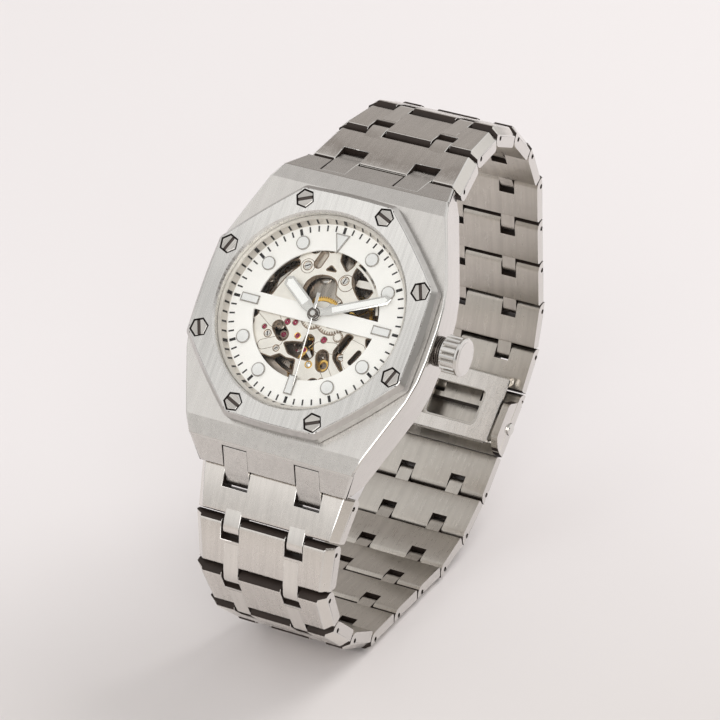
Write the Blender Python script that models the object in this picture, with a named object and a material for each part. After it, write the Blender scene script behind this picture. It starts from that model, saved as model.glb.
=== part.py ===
"""Skeleton wristwatch with an octagonal bezel and an articulated steel bracelet.

The watch is designed in its own frame, in millimetres:
    x  towards 3 o'clock (the crown side)
    y  towards 12 o'clock
    z  out of the dial, with z = 0 on the top face of the bezel
and that frame hangs on one empty, turned about x, so that the watch stands on
three coplanar links of the 6 o'clock strand with its dial leaning back.
The origin is the middle of the outer face of the link in the middle of that
resting run; the ground is z = 0.
"""
import math
import bpy
import bmesh
from mathutils import Matrix, Vector

for old_object in list(bpy.data.objects):
    bpy.data.objects.remove(old_object, do_unlink=True)

MM = 0.001

# ---------------------------------------------------------------- dimensions
# Angles are in degrees; clock angles run clockwise from 12 o'clock.
CORNER_ANGLES = [22.5 + 45 * k for k in range(8)]   # bezel corners and screws

BEZEL_FLAT = 19.2          # centre to flat, at the foot of the bezel
BEZEL_TOP_FLAT = 18.5      # centre to flat, on the top face
BEZEL_HEIGHT = 2.7
BEZEL_EDGE_Z = -0.85       # foot of the sloping edge
BEZEL_BORE = 15.55
SCREW_CIRCLE = 18.0
SCREW_ACROSS_FLATS = 2.55
SCREW_RECESS_PLAY = 0.36   # across flats
CRYSTAL_R = 15.3

DIAL_R = 14.8
DIAL_OPENING_R = 10.3
DIAL_Z = -2.8
CROSSBAR_WIDTH = 2.7
CROSSBAR_END = DIAL_OPENING_R + 0.8
MARKER_CIRCLE = 12.0
HOUR_ANGLE, MINUTE_ANGLE, SECOND_ANGLE = 305.0, 66.0, 176.0

CASE_HALF_WIDTH = 20.25
CAVITY_R = 15.9
CROWN_Z = -6.0
CROWN_TUBE_R = 1.5

# Bracelet: first pin, link pitches and headings of both strands.  A heading is
# the angle from the case's length direction down towards the wrist side.
PIN0_Y, PIN0_Z = 26.0, -10.4
PITCH = 8.0
UPPER_PITCH = [PITCH] * 10
LOWER_PITCH = [7.5] + [PITCH] * 9
UPPER_HEADING = [32.0, 47.0, 72.0, 91.0, 109.0, 132.0, 132.0, 133.0, 152.0, 175.0]
LOWER_HEADING = [15.0, 37.0, 67.0, 91.0, 105.0, 132.5, 132.5, 132.5, 149.0, 164.0]
REST_LINK = 7              # middle link of the flat run that the watch stands on

CASE_HALF_SPAN = 13.2      # half the bracelet's width at the case
FAR_HALF_SPAN = 9.95       # half width that the taper tends to
TAPER_PINS = 2.4           # decay length of the taper, in pins
LINK_OUT, LINK_IN = 1.6, -1.5    # outer and inner face, from the pin
FIRST_LINK_OUT = 1.9             # outer face at the rear of the first link
REAR_LIP = 1.5                   # link body behind its pin
LINK_CORNER = 0.35               # bevel at both ends of the outer face
LINK_CHAMFER = 1.25              # bevel along both outer long edges of a link
FRONT_GAP = 1.8                  # body of a link ends this far before the next pin
NOTCH_FRONT = 1.75               # end of a notch, ahead of the pin
CASE_NOTCH = (4.1, 8.5)          # notch in the first link, for the wider lug of the case
TAB_R = 1.4                      # rounded end of a tab, about the next pin
TAB_PLAY = 0.15                  # between a tab and each side of its notch
TAB_OVERLAP = 1.6                # root of a tab inside the link body
PIN_R, BORE_R = 0.5, 0.62
PIN_OVERRUN = 1.2                # pin beyond each side of its notch
BORE_OVERRUN = 1.0               # bore cutter beyond each side of its notch


# ---------------------------------------------------------------- materials
def material(name, colour, roughness, metallic, alpha=1.0):
    result = bpy.data.materials.new(name)
    result.use_nodes = True
    inputs = result.node_tree.nodes["Principled BSDF"].inputs
    inputs["Base Color"].default_value = (*colour, 1.0)
    inputs["Roughness"].default_value = roughness
    inputs["Metallic"].default_value = metallic
    inputs["Alpha"].default_value = alpha
    result.diffuse_color = (*colour, alpha)
    return result


STEEL = material("brushed_steel", colour=(0.62, 0.60, 0.57), roughness=0.32, metallic=1.0)
POLISHED = material("polished_steel", colour=(0.72, 0.71, 0.69), roughness=0.12, metallic=1.0)
GLASS = material("crystal_glass", colour=(0.95, 0.97, 0.98), roughness=0.03, metallic=0.0,
                 alpha=0.25)
WHITE = material("dial_white", colour=(0.88, 0.88, 0.86), roughness=0.45, metallic=0.0)
RHODIUM = material("movement_rhodium", colour=(0.66, 0.65, 0.62), roughness=0.35, metallic=1.0)
GILT = material("movement_gilt", colour=(0.83, 0.62, 0.28), roughness=0.30, metallic=1.0)
RUBBER = material("gasket_rubber", colour=(0.05, 0.05, 0.05), roughness=0.7, metallic=0.0)
SATIN = material("flange_satin", colour=(0.60, 0.57, 0.52), roughness=0.4, metallic=0.6)


# ----------------------------------------------------------------- outlines
def clock_point(radius, angle):
    """Point at a clock angle."""
    angle = math.radians(angle)
    return radius * math.sin(angle), radius * math.cos(angle)


def arc(centre, radius, start, end, steps):
    """Points from start to end, angles counted from the first axis."""
    points = []
    for k in range(steps + 1):
        angle = math.radians(start + (end - start) * k / steps)
        points.append((centre[0] + radius * math.cos(angle),
                       centre[1] + radius * math.sin(angle)))
    return points


def octagon(flat):
    corner = flat / math.cos(math.pi / 8)
    return [clock_point(corner, angle) for angle in CORNER_ANGLES]


def hexagon(across):
    """Hexagon with corners on the y axis."""
    radius = across / math.sqrt(3)
    angles = [math.pi / 2 + math.pi / 3 * k for k in range(6)]
    return [(radius * math.cos(a), radius * math.sin(a)) for a in angles]


def gear_outline(teeth, radius, depth, foot=0.30):
    """Trapezoid teeth; foot is half a tooth's width at its root, in tooth pitches."""
    points = []
    step = 2 * math.pi / teeth
    root = radius - depth
    for k in range(teeth):
        middle = 2 * math.pi * k / teeth
        for offset, reach in ((-foot, root), (-0.14, radius), (0.14, radius), (foot, root)):
            angle = middle + offset * step
            points.append((reach * math.cos(angle), reach * math.sin(angle)))
    return points


def both_sides(inner, outer):
    """The x range from inner to outer, and its mirror image."""
    return [(inner, outer), (-outer, -inner)]


# --------------------------------------------------------------- mesh tools
def clean(mesh, merge_distance=0.0):
    """Merge close vertices if asked, and turn the normals outward."""
    bm = bmesh.new()
    bm.from_mesh(mesh)
    if merge_distance:
        bmesh.ops.remove_doubles(bm, verts=bm.verts, dist=merge_distance)
    bmesh.ops.recalc_face_normals(bm, faces=bm.faces)
    bm.to_mesh(mesh)
    bm.free()


def solid(points, faces):
    """Temporary object from points in millimetres."""
    mesh = bpy.data.meshes.new("m")
    mesh.from_pydata([(x * MM, y * MM, z * MM) for x, y, z in points], [], faces)
    clean(mesh)
    result = bpy.data.objects.new("tmp", mesh)
    bpy.context.scene.collection.objects.link(result)
    return result


def skin(loops):
    """Solid through loops of equally many 3D points, closed at both ends."""
    n = len(loops[0])
    last = (len(loops) - 1) * n
    faces = [list(range(n)), list(range(last, last + n))]
    for start in range(0, last, n):
        for i in range(n):
            j = (i + 1) % n
            faces.append([start + i, start + j, start + n + j, start + n + i])
    return solid([point for loop in loops for point in loop], faces)


def loft(levels):
    """Solid through (xy outline, z) levels."""
    return skin([[(x, y, z) for x, y in outline] for outline, z in levels])


def prism(outline, z0, z1):
    """Extrude an outline in xy from z0 to z1."""
    return loft([(outline, z0), (outline, z1)])


def side_prism(outline, x0, x1):
    """Extrude an outline in yz from x0 to x1."""
    return skin([[(x, y, z) for y, z in outline] for x in (x0, x1)])


def turned(profile, segments):
    """Turn a closed profile of (radius, z) about z; radius 0 makes a pole."""
    points, rows = [], []
    for radius, z in profile:
        first = len(points)
        if radius < 1e-9:
            points.append((0.0, 0.0, z))
        else:
            for k in range(segments):
                angle = 2 * math.pi * k / segments
                points.append((radius * math.cos(angle), radius * math.sin(angle), z))
        rows.append(list(range(first, len(points))))
    faces = []
    for low, high in zip(rows, rows[1:] + rows[:1]):
        if len(low) == 1 and len(high) == 1:
            continue
        for k in range(segments):
            j = (k + 1) % segments
            if len(low) == 1:
                faces.append([low[0], high[k], high[j]])
            elif len(high) == 1:
                faces.append([low[k], low[j], high[0]])
            else:
                faces.append([low[k], low[j], high[j], high[k]])
    return solid(points, faces)


def ring(inner, outer, z0, z1, segments):
    """Turned ring of rectangular section; inner = 0 makes it solid."""
    return turned([(inner, z0), (outer, z0), (outer, z1), (inner, z1)], segments)


def disc(radius, z0, z1, segments, at=(0.0, 0.0)):
    angles = [2 * math.pi * k / segments for k in range(segments)]
    outline = [(at[0] + radius * math.cos(a), at[1] + radius * math.sin(a)) for a in angles]
    return prism(outline, z0, z1)


def rod_x(radius, x0, x1, segments=10, at=(0.0, 0.0)):
    """Cylinder along x; at is its (y, z)."""
    angles = [math.pi * (2 * k + 1) / segments for k in range(segments)]
    outline = [(at[0] + radius * math.cos(a), at[1] + radius * math.sin(a)) for a in angles]
    return side_prism(outline, x0, x1)


def rod_pair(radius, inner, outer, segments, at=(0.0, 0.0)):
    """Two mirrored rods along x."""
    return [rod_x(radius, x0, x1, segments, at)
            for x0, x1 in reversed(both_sides(inner, outer))]


def box(x0, x1, y0, y1, z0, z1):
    return prism([(x0, y0), (x1, y0), (x1, y1), (x0, y1)], z0, z1)


def move(body, offset):
    body.data.transform(Matrix.Translation([c * MM for c in offset]))
    return body


def turn(body, degrees, axis='Z'):
    body.data.transform(Matrix.Rotation(math.radians(degrees), 4, axis))
    return body


def combine(body, tool, operation):
    """Apply a boolean to body and remove the tool."""
    modifier = body.modifiers.new("b", 'BOOLEAN')
    modifier.operation = operation
    modifier.solver = 'EXACT'
    modifier.object = tool
    depsgraph = bpy.context.evaluated_depsgraph_get()
    mesh = bpy.data.meshes.new_from_object(body.evaluated_get(depsgraph))
    body.modifiers.clear()
    body.data = mesh
    bpy.data.objects.remove(tool, do_unlink=True)


def add(body, *tools):
    for tool in tools:
        combine(body, tool, 'UNION')


def cut(body, *tools):
    for tool in tools:
        combine(body, tool, 'DIFFERENCE')


# ------------------------------------------------------- frames and placing
def at(x, y, z=0.0):
    return Matrix.Translation((x, y, z))


def strand(pitches, headings, side):
    """(y, z) of a strand's pins; side = +1 at 12 o'clock, -1 at 6."""
    y, z = side * PIN0_Y, PIN0_Z
    pins = [(y, z)]
    for pitch, heading in zip(pitches, headings):
        angle = math.radians(heading)
        y += side * pitch * math.cos(angle)
        z -= pitch * math.sin(angle)
        pins.append((y, z))
    return pins


def strand_frame(pin, heading, side):
    """Frame at a pin: y along the strand away from the case, z outwards."""
    c, s = math.cos(math.radians(heading)), math.sin(math.radians(heading))
    return Matrix(((side, 0, 0, 0),
                   (0, side * c, side * s, pin[0]),
                   (0, -s, c, pin[1]),
                   (0, 0, 0, 1)))


def watch_frame():
    """Empty that stands the watch on its resting links."""
    heading = LOWER_HEADING[REST_LINK - 1]
    rest_frame = strand_frame(LOWER[REST_LINK - 1], heading, -1)
    rest_point = rest_frame @ Vector((0.0, PITCH / 2, LINK_OUT))
    tilt = Matrix.Rotation(math.radians(180.0 - heading), 4, 'X')
    frame = bpy.data.objects.new("watch_frame", None)
    bpy.context.scene.collection.objects.link(frame)
    frame.matrix_world = Matrix.Translation(-(tilt @ rest_point) * MM) @ tilt
    return frame


UPPER = strand(UPPER_PITCH, UPPER_HEADING, 1)
LOWER = strand(LOWER_PITCH, LOWER_HEADING, -1)
WATCH = watch_frame()


def place(body, name, mat, matrix=Matrix()):
    """Name a finished solid and hang it on the watch's frame.

    matrix, in millimetres, puts the solid's own origin there.
    """
    body.name = name
    body.data.name = name
    body.data.materials.clear()
    body.data.materials.append(mat)
    body.parent = WATCH
    body.matrix_parent_inverse = Matrix()
    basis = matrix.copy()
    basis.translation = basis.translation * MM
    body.matrix_basis = basis
    clean(body.data, merge_distance=2e-6)
    body.data.shade_smooth()
    body.data.set_sharp_from_angle(angle=math.radians(35))


# ----------------------------------------------------------------- the case
# Plan (x, y) of the quarter towards 12 and 3 o'clock
CASE_QUARTER = [(13.1, 25.6), (14.4, 22.3), (19.9, 8.0), (CASE_HALF_WIDTH, 0.0)]
# Side view (y, z)
CASE_SIDE = [(-25.4, -7.4), (-22.3, -3.9), (-19.6, -2.75), (19.6, -2.75), (22.3, -3.9),
             (25.4, -7.4), (24.3, -8.9), (22.0, -10.4), (-22.0, -10.4), (-24.3, -8.9)]


def case_plan(inset):
    """Plan of the case, 14 points, drawn in by inset at 3 and 9 o'clock."""
    scale_x = (CASE_HALF_WIDTH - inset) / CASE_HALF_WIDTH
    quarter = [(x * scale_x, y * (1 - inset / 40.0)) for x, y in CASE_QUARTER]
    right = quarter + [(x, -y) for x, y in reversed(quarter[:-1])]
    return right + [(-x, y) for x, y in reversed(right)]


def case_tab(side, x0, x1):
    """Rounded lug of the case about the first pin; side = +1 at 12, -1 at 6."""
    profile = [(21.8, -6.2), (23.4, -6.0), (25.2, -7.6)]
    profile += arc((PIN0_Y, PIN0_Z), TAB_R, 80, -100, 6)
    profile.append((21.8, -10.2))
    return side_prism([(side * y, z) for y, z in profile], x0, x1)


def make_mid_case():
    case = loft([(case_plan(0.0), -2.0), (case_plan(0.0), -3.6), (case_plan(0.8), -10.4)])
    combine(case, side_prism(CASE_SIDE, -24, 24), 'INTERSECT')
    cut(case, ring(0, CAVITY_R, -12, 0, 32))
    inner, outer = CASE_NOTCH
    for side in (1, -1):
        for x0, x1 in both_sides(inner + TAB_PLAY, outer - TAB_PLAY):
            add(case, case_tab(side, x0, x1))
        cut(case, rod_x(BORE_R, -13.5, 13.5, 10, (side * PIN0_Y, PIN0_Z)))
    for angle in CORNER_ANGLES:
        cut(case, disc(0.62, -6.2, -1.0, 8, clock_point(SCREW_CIRCLE, angle)))
    cut(case, rod_x(CROWN_TUBE_R + 0.06, 10, 26, 16, (0, CROWN_Z)))
    place(case, "mid_case", STEEL)


def make_bezel():
    foot = octagon(BEZEL_FLAT)
    bezel = loft([(foot, -BEZEL_HEIGHT), (foot, BEZEL_EDGE_Z), (octagon(BEZEL_TOP_FLAT), 0.0)])
    cut(bezel, ring(0, BEZEL_BORE, -4, 1, 32))
    for angle in CORNER_ANGLES:
        centre = clock_point(SCREW_CIRCLE, angle)
        recess = prism(hexagon(SCREW_ACROSS_FLATS + SCREW_RECESS_PLAY), -1.25, 1.0)
        cut(bezel, move(turn(recess, -angle), (*centre, 0)))
        cut(bezel, disc(0.75, -4, 0.5, 8, centre))
    place(bezel, "bezel", STEEL)


def make_bezel_screws():
    """Slotted hexagonal heads with a shank, numbered clockwise."""
    head = hexagon(SCREW_ACROSS_FLATS)
    for number, angle in enumerate(CORNER_ANGLES, 1):
        screw = loft([(head, -1.2), (head, -0.12), (hexagon(SCREW_ACROSS_FLATS - 0.24), -0.02)])
        add(screw, disc(0.55, -5.8, -0.9, 8))
        cut(screw, box(-2, 2, -0.2, 0.2, -0.5, 1))
        place(screw, "bezel_screw_%d" % number, POLISHED,
              at(*clock_point(SCREW_CIRCLE, angle))
              @ Matrix.Rotation(-math.radians(angle), 4, 'Z'))


def make_crystal_and_rings():
    crystal = [(0, -1.35), (CRYSTAL_R - 0.05, -1.35), (CRYSTAL_R, -1.3),
               (CRYSTAL_R, -0.25), (CRYSTAL_R - 0.25, 0.0), (0, 0.0)]
    rehaut = [(14.45, -2.75), (15.45, -2.75), (15.45, -1.7), (15.05, -1.7)]
    place(turned(crystal, 32), "crystal", GLASS)
    place(ring(14.75, 15.45, -1.65, -1.4, 32), "crystal_gasket", RUBBER)
    place(turned(rehaut, 32), "rehaut_ring", SATIN)


def make_case_back():
    profile = [(12.6, -11.4), (16.6, -11.4), (16.9, -11.1), (16.9, -10.45), (15.75, -10.45),
               (15.75, -9.1), (13.65, -9.1), (13.65, -10.35), (12.6, -10.35)]
    place(turned(profile, 28), "case_back_ring", STEEL)
    place(ring(0, 13.55, -10.3, -9.25, 32), "case_back_crystal", GLASS)


# ----------------------------------------------------------------- the dial
def hour_marker(hour):
    """Triangle at 12, bars at 3, 6 and 9, discs elsewhere."""
    z0, z1 = DIAL_Z - 0.2, DIAL_Z + 0.28
    if hour == 12:
        return prism([(-1.2, 13.1), (0, 10.1), (1.2, 13.1)], z0, z1)
    if hour in (3, 6, 9):
        return turn(box(-0.7, 0.7, 9.85, 12.95, z0, z1), -30 * hour)
    return disc(1.1, z0, z1, 10, clock_point(MARKER_CIRCLE, 30 * hour))


def make_dial():
    """Open ring with a crossbar, broken by a small ring at the centre."""
    dial = ring(DIAL_OPENING_R, DIAL_R, DIAL_Z - 0.35, DIAL_Z, 36)
    for x0, x1 in reversed(both_sides(0.92, CROSSBAR_END)):
        add(dial, box(x0, x1, -CROSSBAR_WIDTH / 2, CROSSBAR_WIDTH / 2,
                      DIAL_Z - 0.3, DIAL_Z - 0.04))
    add(dial, ring(0.8, 1.5, DIAL_Z - 0.28, DIAL_Z - 0.06, 16))
    for hour in range(1, 13):
        add(dial, hour_marker(hour))
    place(dial, "dial", WHITE)


# ----------------------------------------------------------------- movement
CENTRE = (0.0, 0.0)
BARREL = (-1.5, 6.6)
THIRD = (4.1, 1.6)
ESCAPE = (-2.9, -2.75)
PALLET = (-1.2, -4.6)
BALANCE = (1.8, -7.6)
PILLARS = [(8.2, 8.2), (-10.6, 4.4), (10.6, -4.4)]
COCK_FOOT = (7.9, -8.6)
PILLAR = (0.9, -7.6, -4.65, 10)    # radius, z0, z1, segments
BRIDGE_Z = (-8.0, -7.25)           # train bridge and balance cock
PIVOT_Z = -7.9                     # case-back end of the arbors
# Openings in the main plate: centre, radius
PLATE_OPENINGS = [(BARREL, 3.4), ((5.2, 2.4), 2.6), (BALANCE, 3.6),
                  ((-7.2, -5.4), 2.2), ((-7.6, 2.6), 1.8), ((8.2, -2.2), 1.5)]
# Name, centre, (teeth, radius, tooth depth), z0, z1,
# then coaxial discs: radius, z0, z1, segments
TRAIN_WHEELS = [
    ("third_wheel", THIRD, (20, 3.7, 0.3), -6.6, -6.35,
     [(0.5, -6.5, -4.7, 8), (0.35, PIVOT_Z, -6.4, 8)]),
    ("fourth_wheel", CENTRE, (20, 3.4, 0.3), -7.05, -6.8,
     [(0.5, -6.9, -6.3, 10), (0.33, PIVOT_Z, -3.0, 8)]),
    ("escape_wheel", ESCAPE, (15, 2.15, 0.5), -5.95, -5.7,
     [(0.42, -7.05, -5.8, 8), (0.3, PIVOT_Z, -6.9, 8)]),
]


def make_holder_and_plate():
    holder = ring(13.35, 15.75, -8.9, -3.2, 28)
    cut(holder, rod_x(1.1, 10, 20, 10, (0, CROWN_Z)))
    place(holder, "movement_holder", RHODIUM)

    plate = disc(13.1, -4.6, -3.4, 28)
    cut(plate, disc(1.0, -6, 0, 12))
    for centre, radius in PLATE_OPENINGS:
        cut(plate, disc(radius, -6, 0, 14, centre))
    place(plate, "main_plate", RHODIUM)


def make_bridges():
    outline = arc(CENTRE, 12.9, -32, 212, 22) + [(-4.6, -4.6), (-2.0, -4.9), (1.5, -2.2)]
    bridge = prism(outline, *BRIDGE_Z)
    for foot in PILLARS:
        add(bridge, disc(*PILLAR, foot))
    for pivot in (CENTRE, BARREL, THIRD, ESCAPE):
        cut(bridge, disc(0.45, -9, -6, 8, pivot))
    place(bridge, "train_bridge", RHODIUM)

    outline = [(0.6, -7.1), (2.3, -6.3), (9.6, -7.4), (9.2, -9.0), (7.6, -10.2), (1.4, -9.0)]
    cock = prism(outline, *BRIDGE_Z)
    add(cock, disc(*PILLAR, COCK_FOOT))
    cut(cock, disc(0.3, -9, -6, 8, BALANCE))
    place(cock, "balance_cock", RHODIUM)


def make_going_train():
    barrel = prism(gear_outline(24, 5.6, 0.35), -5.75, -5.4)
    add(barrel, turned([(0, -6.2), (4.7, -6.2), (4.9, -6.0), (4.9, -5.15), (0, -5.15)], 18))
    add(barrel, disc(0.4, PIVOT_Z, -4.75, 8))
    place(barrel, "mainspring_barrel", RHODIUM, at(*BARREL))

    centre_wheel = prism(gear_outline(20, 3.6, 0.3), -5.0, -4.75)
    add(centre_wheel, disc(0.85, -6.25, -4.9, 10))
    cut(centre_wheel, disc(0.45, -8, -3, 10))
    place(centre_wheel, "center_wheel", GILT)

    for name, centre, gear, z0, z1, discs in TRAIN_WHEELS:
        wheel = prism(gear_outline(*gear), z0, z1)
        for sizes in discs:
            add(wheel, disc(*sizes))
        place(wheel, name, GILT, at(*centre))


def make_pallet_fork():
    """Fork whose lever, along its own x, points at the balance."""
    outline = [(-0.35, -1.5), (0.25, -1.5), (0.4, -0.3), (3.2, -0.14),
               (3.2, 0.14), (0.4, 0.3), (0.25, 1.5), (-0.35, 1.5)]
    fork = prism(outline, -5.95, -5.75)
    add(fork, disc(0.2, -6.4, -5.2, 8))
    heading = math.atan2(BALANCE[1] - PALLET[1], BALANCE[0] - PALLET[0])
    place(fork, "pallet_fork", POLISHED, at(*PALLET) @ Matrix.Rotation(heading, 4, 'Z'))


def make_balance():
    balance = ring(3.7, 4.2, -6.75, -6.3, 20)
    add(balance, box(-3.9, 3.9, -0.28, 0.28, -6.65, -6.4))
    add(balance, disc(0.22, PIVOT_Z, -4.9, 8))
    add(balance, disc(0.7, -6.5, -6.25, 10))
    place(balance, "balance_wheel", GILT, at(*BALANCE))


def make_rotor():
    """Heavy rim on the 6 o'clock side, a thin web and a hub."""
    rim = arc(CENTRE, 12.7, 195, 345, 14) + arc(CENTRE, 10.4, 345, 195, 14)
    web = [(-11.0, -4.5), (-1.3, 0.9), (1.3, 0.9), (11.0, -4.5),
           (6.0, -9.3), (0, -11.2), (-6.0, -9.3)]
    rotor = prism(rim, -9.05, -8.15)
    add(rotor, prism(web, -8.55, -8.2))
    add(rotor, disc(1.5, -8.75, -8.1, 14))
    place(rotor, "rotor", RHODIUM)


# ----------------------------------------------------------- crown and stem
CROWN_FOOT = 20.9          # x of the fluted body's inner end, and of the tube's outer end


def make_crown_and_stem():
    """Tube and crown are turned about z, then laid along x."""
    tube = turn(ring(0.8, CROWN_TUBE_R, 15.95, CROWN_FOOT, 14), 90, 'Y')
    place(move(tube, (0, 0, CROWN_Z)), "crown_tube", POLISHED)

    stem = rod_x(0.45, 11.4, 22.2)
    add(stem, rod_x(0.62, 12.4, 14.6))
    place(stem, "winding_stem", POLISHED, at(0, 0, CROWN_Z))

    crown = prism(gear_outline(18, 2.9, 0.25, foot=0.28), CROWN_FOOT, 23.9)
    add(crown, turned([(0, 23.5), (3.0, 23.5), (3.0, 24.1), (2.7, 24.4), (0, 24.4)], 20))
    add(crown, disc(2.3, 20.7, 21.2, 20))
    cut(crown, disc(1.7, 20.0, 22.4, 14))
    place(turn(crown, 90, 'Y'), "crown", POLISHED, at(0, 0, CROWN_Z))


# -------------------------------------------------------------------- hands
def baton(root, half, widest, shoulder, tip):
    """Pointed hand: half widths at the root and along the blade, then three y."""
    return [(-root, 0.0), (root, 0.0), (half, widest), (half, shoulder),
            (0.0, tip), (-half, shoulder), (-half, widest)]


def make_hand(name, angle, outline, z0, z1, boss, sleeve=None, bore=0.0):
    """Hand pointing at a clock angle; boss and sleeve are (radius, z0, z1)."""
    hand = prism(outline, z0, z1)
    add(hand, disc(*boss, 16))
    if sleeve:
        add(hand, disc(*sleeve, 12))
    if bore:
        cut(hand, disc(bore, -6, 0, 12))
    place(hand, name, POLISHED, Matrix.Rotation(math.radians(-angle), 4, 'Z'))


def make_hands():
    make_hand("hour_hand", HOUR_ANGLE,
              baton(root=0.5, half=0.95, widest=2.0, shoulder=7.2, tip=8.0),
              -2.45, -2.3, boss=(0.95, -2.5, -2.25), bore=0.72)
    make_hand("minute_hand", MINUTE_ANGLE,
              baton(root=0.4, half=0.72, widest=2.4, shoulder=11.8, tip=12.6),
              -2.18, -2.03, boss=(0.85, -2.2, -2.0), sleeve=(0.62, -4.1, -2.1), bore=0.4)
    make_hand("second_hand", SECOND_ANGLE,
              [(-0.3, -3.4), (0.3, -3.4), (0.12, 0.0), (0.08, 11.6), (-0.08, 11.6), (-0.12, 0.0)],
              -1.85, -1.72, boss=(0.6, -1.9, -1.6))


# ----------------------------------------------------------------- bracelet
# A link's own frame is its strand_frame, at the pin nearer the case.
def half_width(pin):
    """Half the bracelet's width at pin number pin from the case."""
    return FAR_HALF_SPAN + (CASE_HALF_SPAN - FAR_HALF_SPAN) * math.exp(-pin / TAPER_PINS)


def notch(pin):
    """Inner and outer edge of the notch that takes a tab."""
    if pin == 0:
        return CASE_NOTCH
    half = half_width(pin)
    return 0.33 * half, 0.33 * half + 0.265 * half


def link_profile(length, rear_out):
    """Side view (y, z) of a link body, with a rounded inner rear."""
    profile = [(-REAR_LIP, rear_out - LINK_CORNER), (-REAR_LIP + LINK_CORNER, rear_out),
               (length - LINK_CORNER, LINK_OUT), (length, LINK_OUT - LINK_CORNER),
               (length, LINK_IN + 0.4), (length - 0.4, LINK_IN)]
    return profile + arc(CENTRE, REAR_LIP, 270, 180, 3)


def tapered(profile, half0, half1, pitch):
    """Extrude a (y, z) profile across the bracelet, half width half0 at y = 0 and
    half1 at y = pitch, with the outer long edges bevelled."""
    low = LINK_OUT - LINK_CHAMFER
    edges = [(half0 + (half1 - half0) * y / pitch, y, z) for y, z in profile]
    return skin([[(-half, y, min(z, low)) for half, y, z in edges],
                 [(LINK_CHAMFER - half, y, z) for half, y, z in edges],
                 [(half - LINK_CHAMFER, y, z) for half, y, z in edges],
                 [(half, y, min(z, low)) for half, y, z in edges]])


def add_tabs(body, pin, pitch, length):
    """Bored tabs that reach into the notches of the next link, at pin."""
    inner, outer = notch(pin)
    root = length - TAB_OVERLAP
    profile = [(root, TAB_R - 0.02), (pitch - 0.4, TAB_R)]
    profile += arc((pitch, 0), TAB_R, 70, -82, 4)
    profile += [(pitch - 0.5, -TAB_R + 0.05), (root, -TAB_R + 0.1)]
    for x0, x1 in both_sides(inner + TAB_PLAY, outer - TAB_PLAY):
        add(body, side_prism(profile, x0, x1))
    cut(body, *rod_pair(BORE_R, inner - BORE_OVERRUN, outer + BORE_OVERRUN, 8, (pitch, 0)))


def link_solid(pin, pitch, length, rear_out=LINK_OUT, tabs=True):
    """Link body with notches and pins at its rear, and tabs at its front."""
    body = tapered(link_profile(length, rear_out), half_width(pin), half_width(pin + 1), pitch)
    inner, outer = notch(pin)
    for x0, x1 in both_sides(inner, outer):
        cut(body, box(x0, x1, -5, NOTCH_FRONT, -5, 5))
    if tabs:
        add_tabs(body, pin + 1, pitch, length)
    add(body, *rod_pair(PIN_R, inner - PIN_OVERRUN, outer + PIN_OVERRUN, 8))
    return body


def make_links():
    strands = [("upper", UPPER, UPPER_PITCH, UPPER_HEADING, 1),
               ("lower", LOWER, LOWER_PITCH, LOWER_HEADING, -1)]
    for i in range(10):
        rear_out = FIRST_LINK_OUT if i == 0 else LINK_OUT
        for name, pins, pitches, headings, side in strands:
            link = link_solid(i, pitches[i], pitches[i] - FRONT_GAP, rear_out)
            place(link, "%s_link_%d" % (name, i + 1), STEEL,
                  strand_frame(pins[i], headings[i], side))


# -------------------------------------------------------------------- clasp
# Its frame is at the last upper pin, y towards the last lower pin, z outwards.
CLASP_DY = LOWER[10][0] - UPPER[10][0]
CLASP_DZ = LOWER[10][1] - UPPER[10][1]
CLASP_SPAN = math.hypot(CLASP_DY, CLASP_DZ)
CLASP_HEADING = 180.0 + math.degrees(math.atan2(CLASP_DZ, -CLASP_DY))
CLASP_FRAME = strand_frame(UPPER[10], CLASP_HEADING, 1)
CLASP_HALF = half_width(10)
COVER_END = 9.6
END_GAP = 0.55                   # between the cover and the lower end piece
BUTTON = (5.0, -0.9)             # (y, z) of the button axis
COVER_HINGE = (8.5, -2.95)       # outer blade in the cover
BLADE_HINGE = (-2.4, -2.95)      # inner blade on the outer blade
HINGE_PIN_R, HINGE_BORE_R, KNUCKLE_R = 0.3, 0.36, 0.55
OUTER_BLADE_HALF = 7.3
INNER_BLADE_HALF = 8.3
# Side view (y, z) of the cover's walls
COVER_WALL = [(0.2, 0.0), (0.2, -1.0), (1.9, -4.4), (7.9, -4.4), (9.4, -2.2), (9.4, 0.0)]
# Side view (y, z) of the inner blade's hinge ears
BLADE_EAR = [(-0.6, -0.9), (-0.62, 0.0), (-0.43, 0.43), (0.0, 0.62), (0.43, 0.43),
             (0.62, 0.0), (1.4, -0.9), (1.4, -1.3), (0.0, -1.3)]


def in_clasp(y, z):
    return CLASP_FRAME @ at(0, y, z)


def make_clasp_cover():
    cover = link_solid(10, PITCH, COVER_END, tabs=False)
    cut(cover, box(-CLASP_HALF + 1.3, CLASP_HALF - 1.3, 2.6, 12, -6, 0.5))
    for x0, x1 in both_sides(CLASP_HALF - 1.25, CLASP_HALF - 0.05):
        add(cover, side_prism(COVER_WALL, x0, x1))
    for x0, x1 in both_sides(CLASP_HALF - 2.5, CLASP_HALF + 2):
        cut(cover, rod_x(1.06, x0, x1, 14, BUTTON))
    cut(cover, rod_x(HINGE_BORE_R, -CLASP_HALF + 0.5, CLASP_HALF - 0.5, 10, COVER_HINGE))
    place(cover, "clasp_cover", STEEL, CLASP_FRAME)


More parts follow.
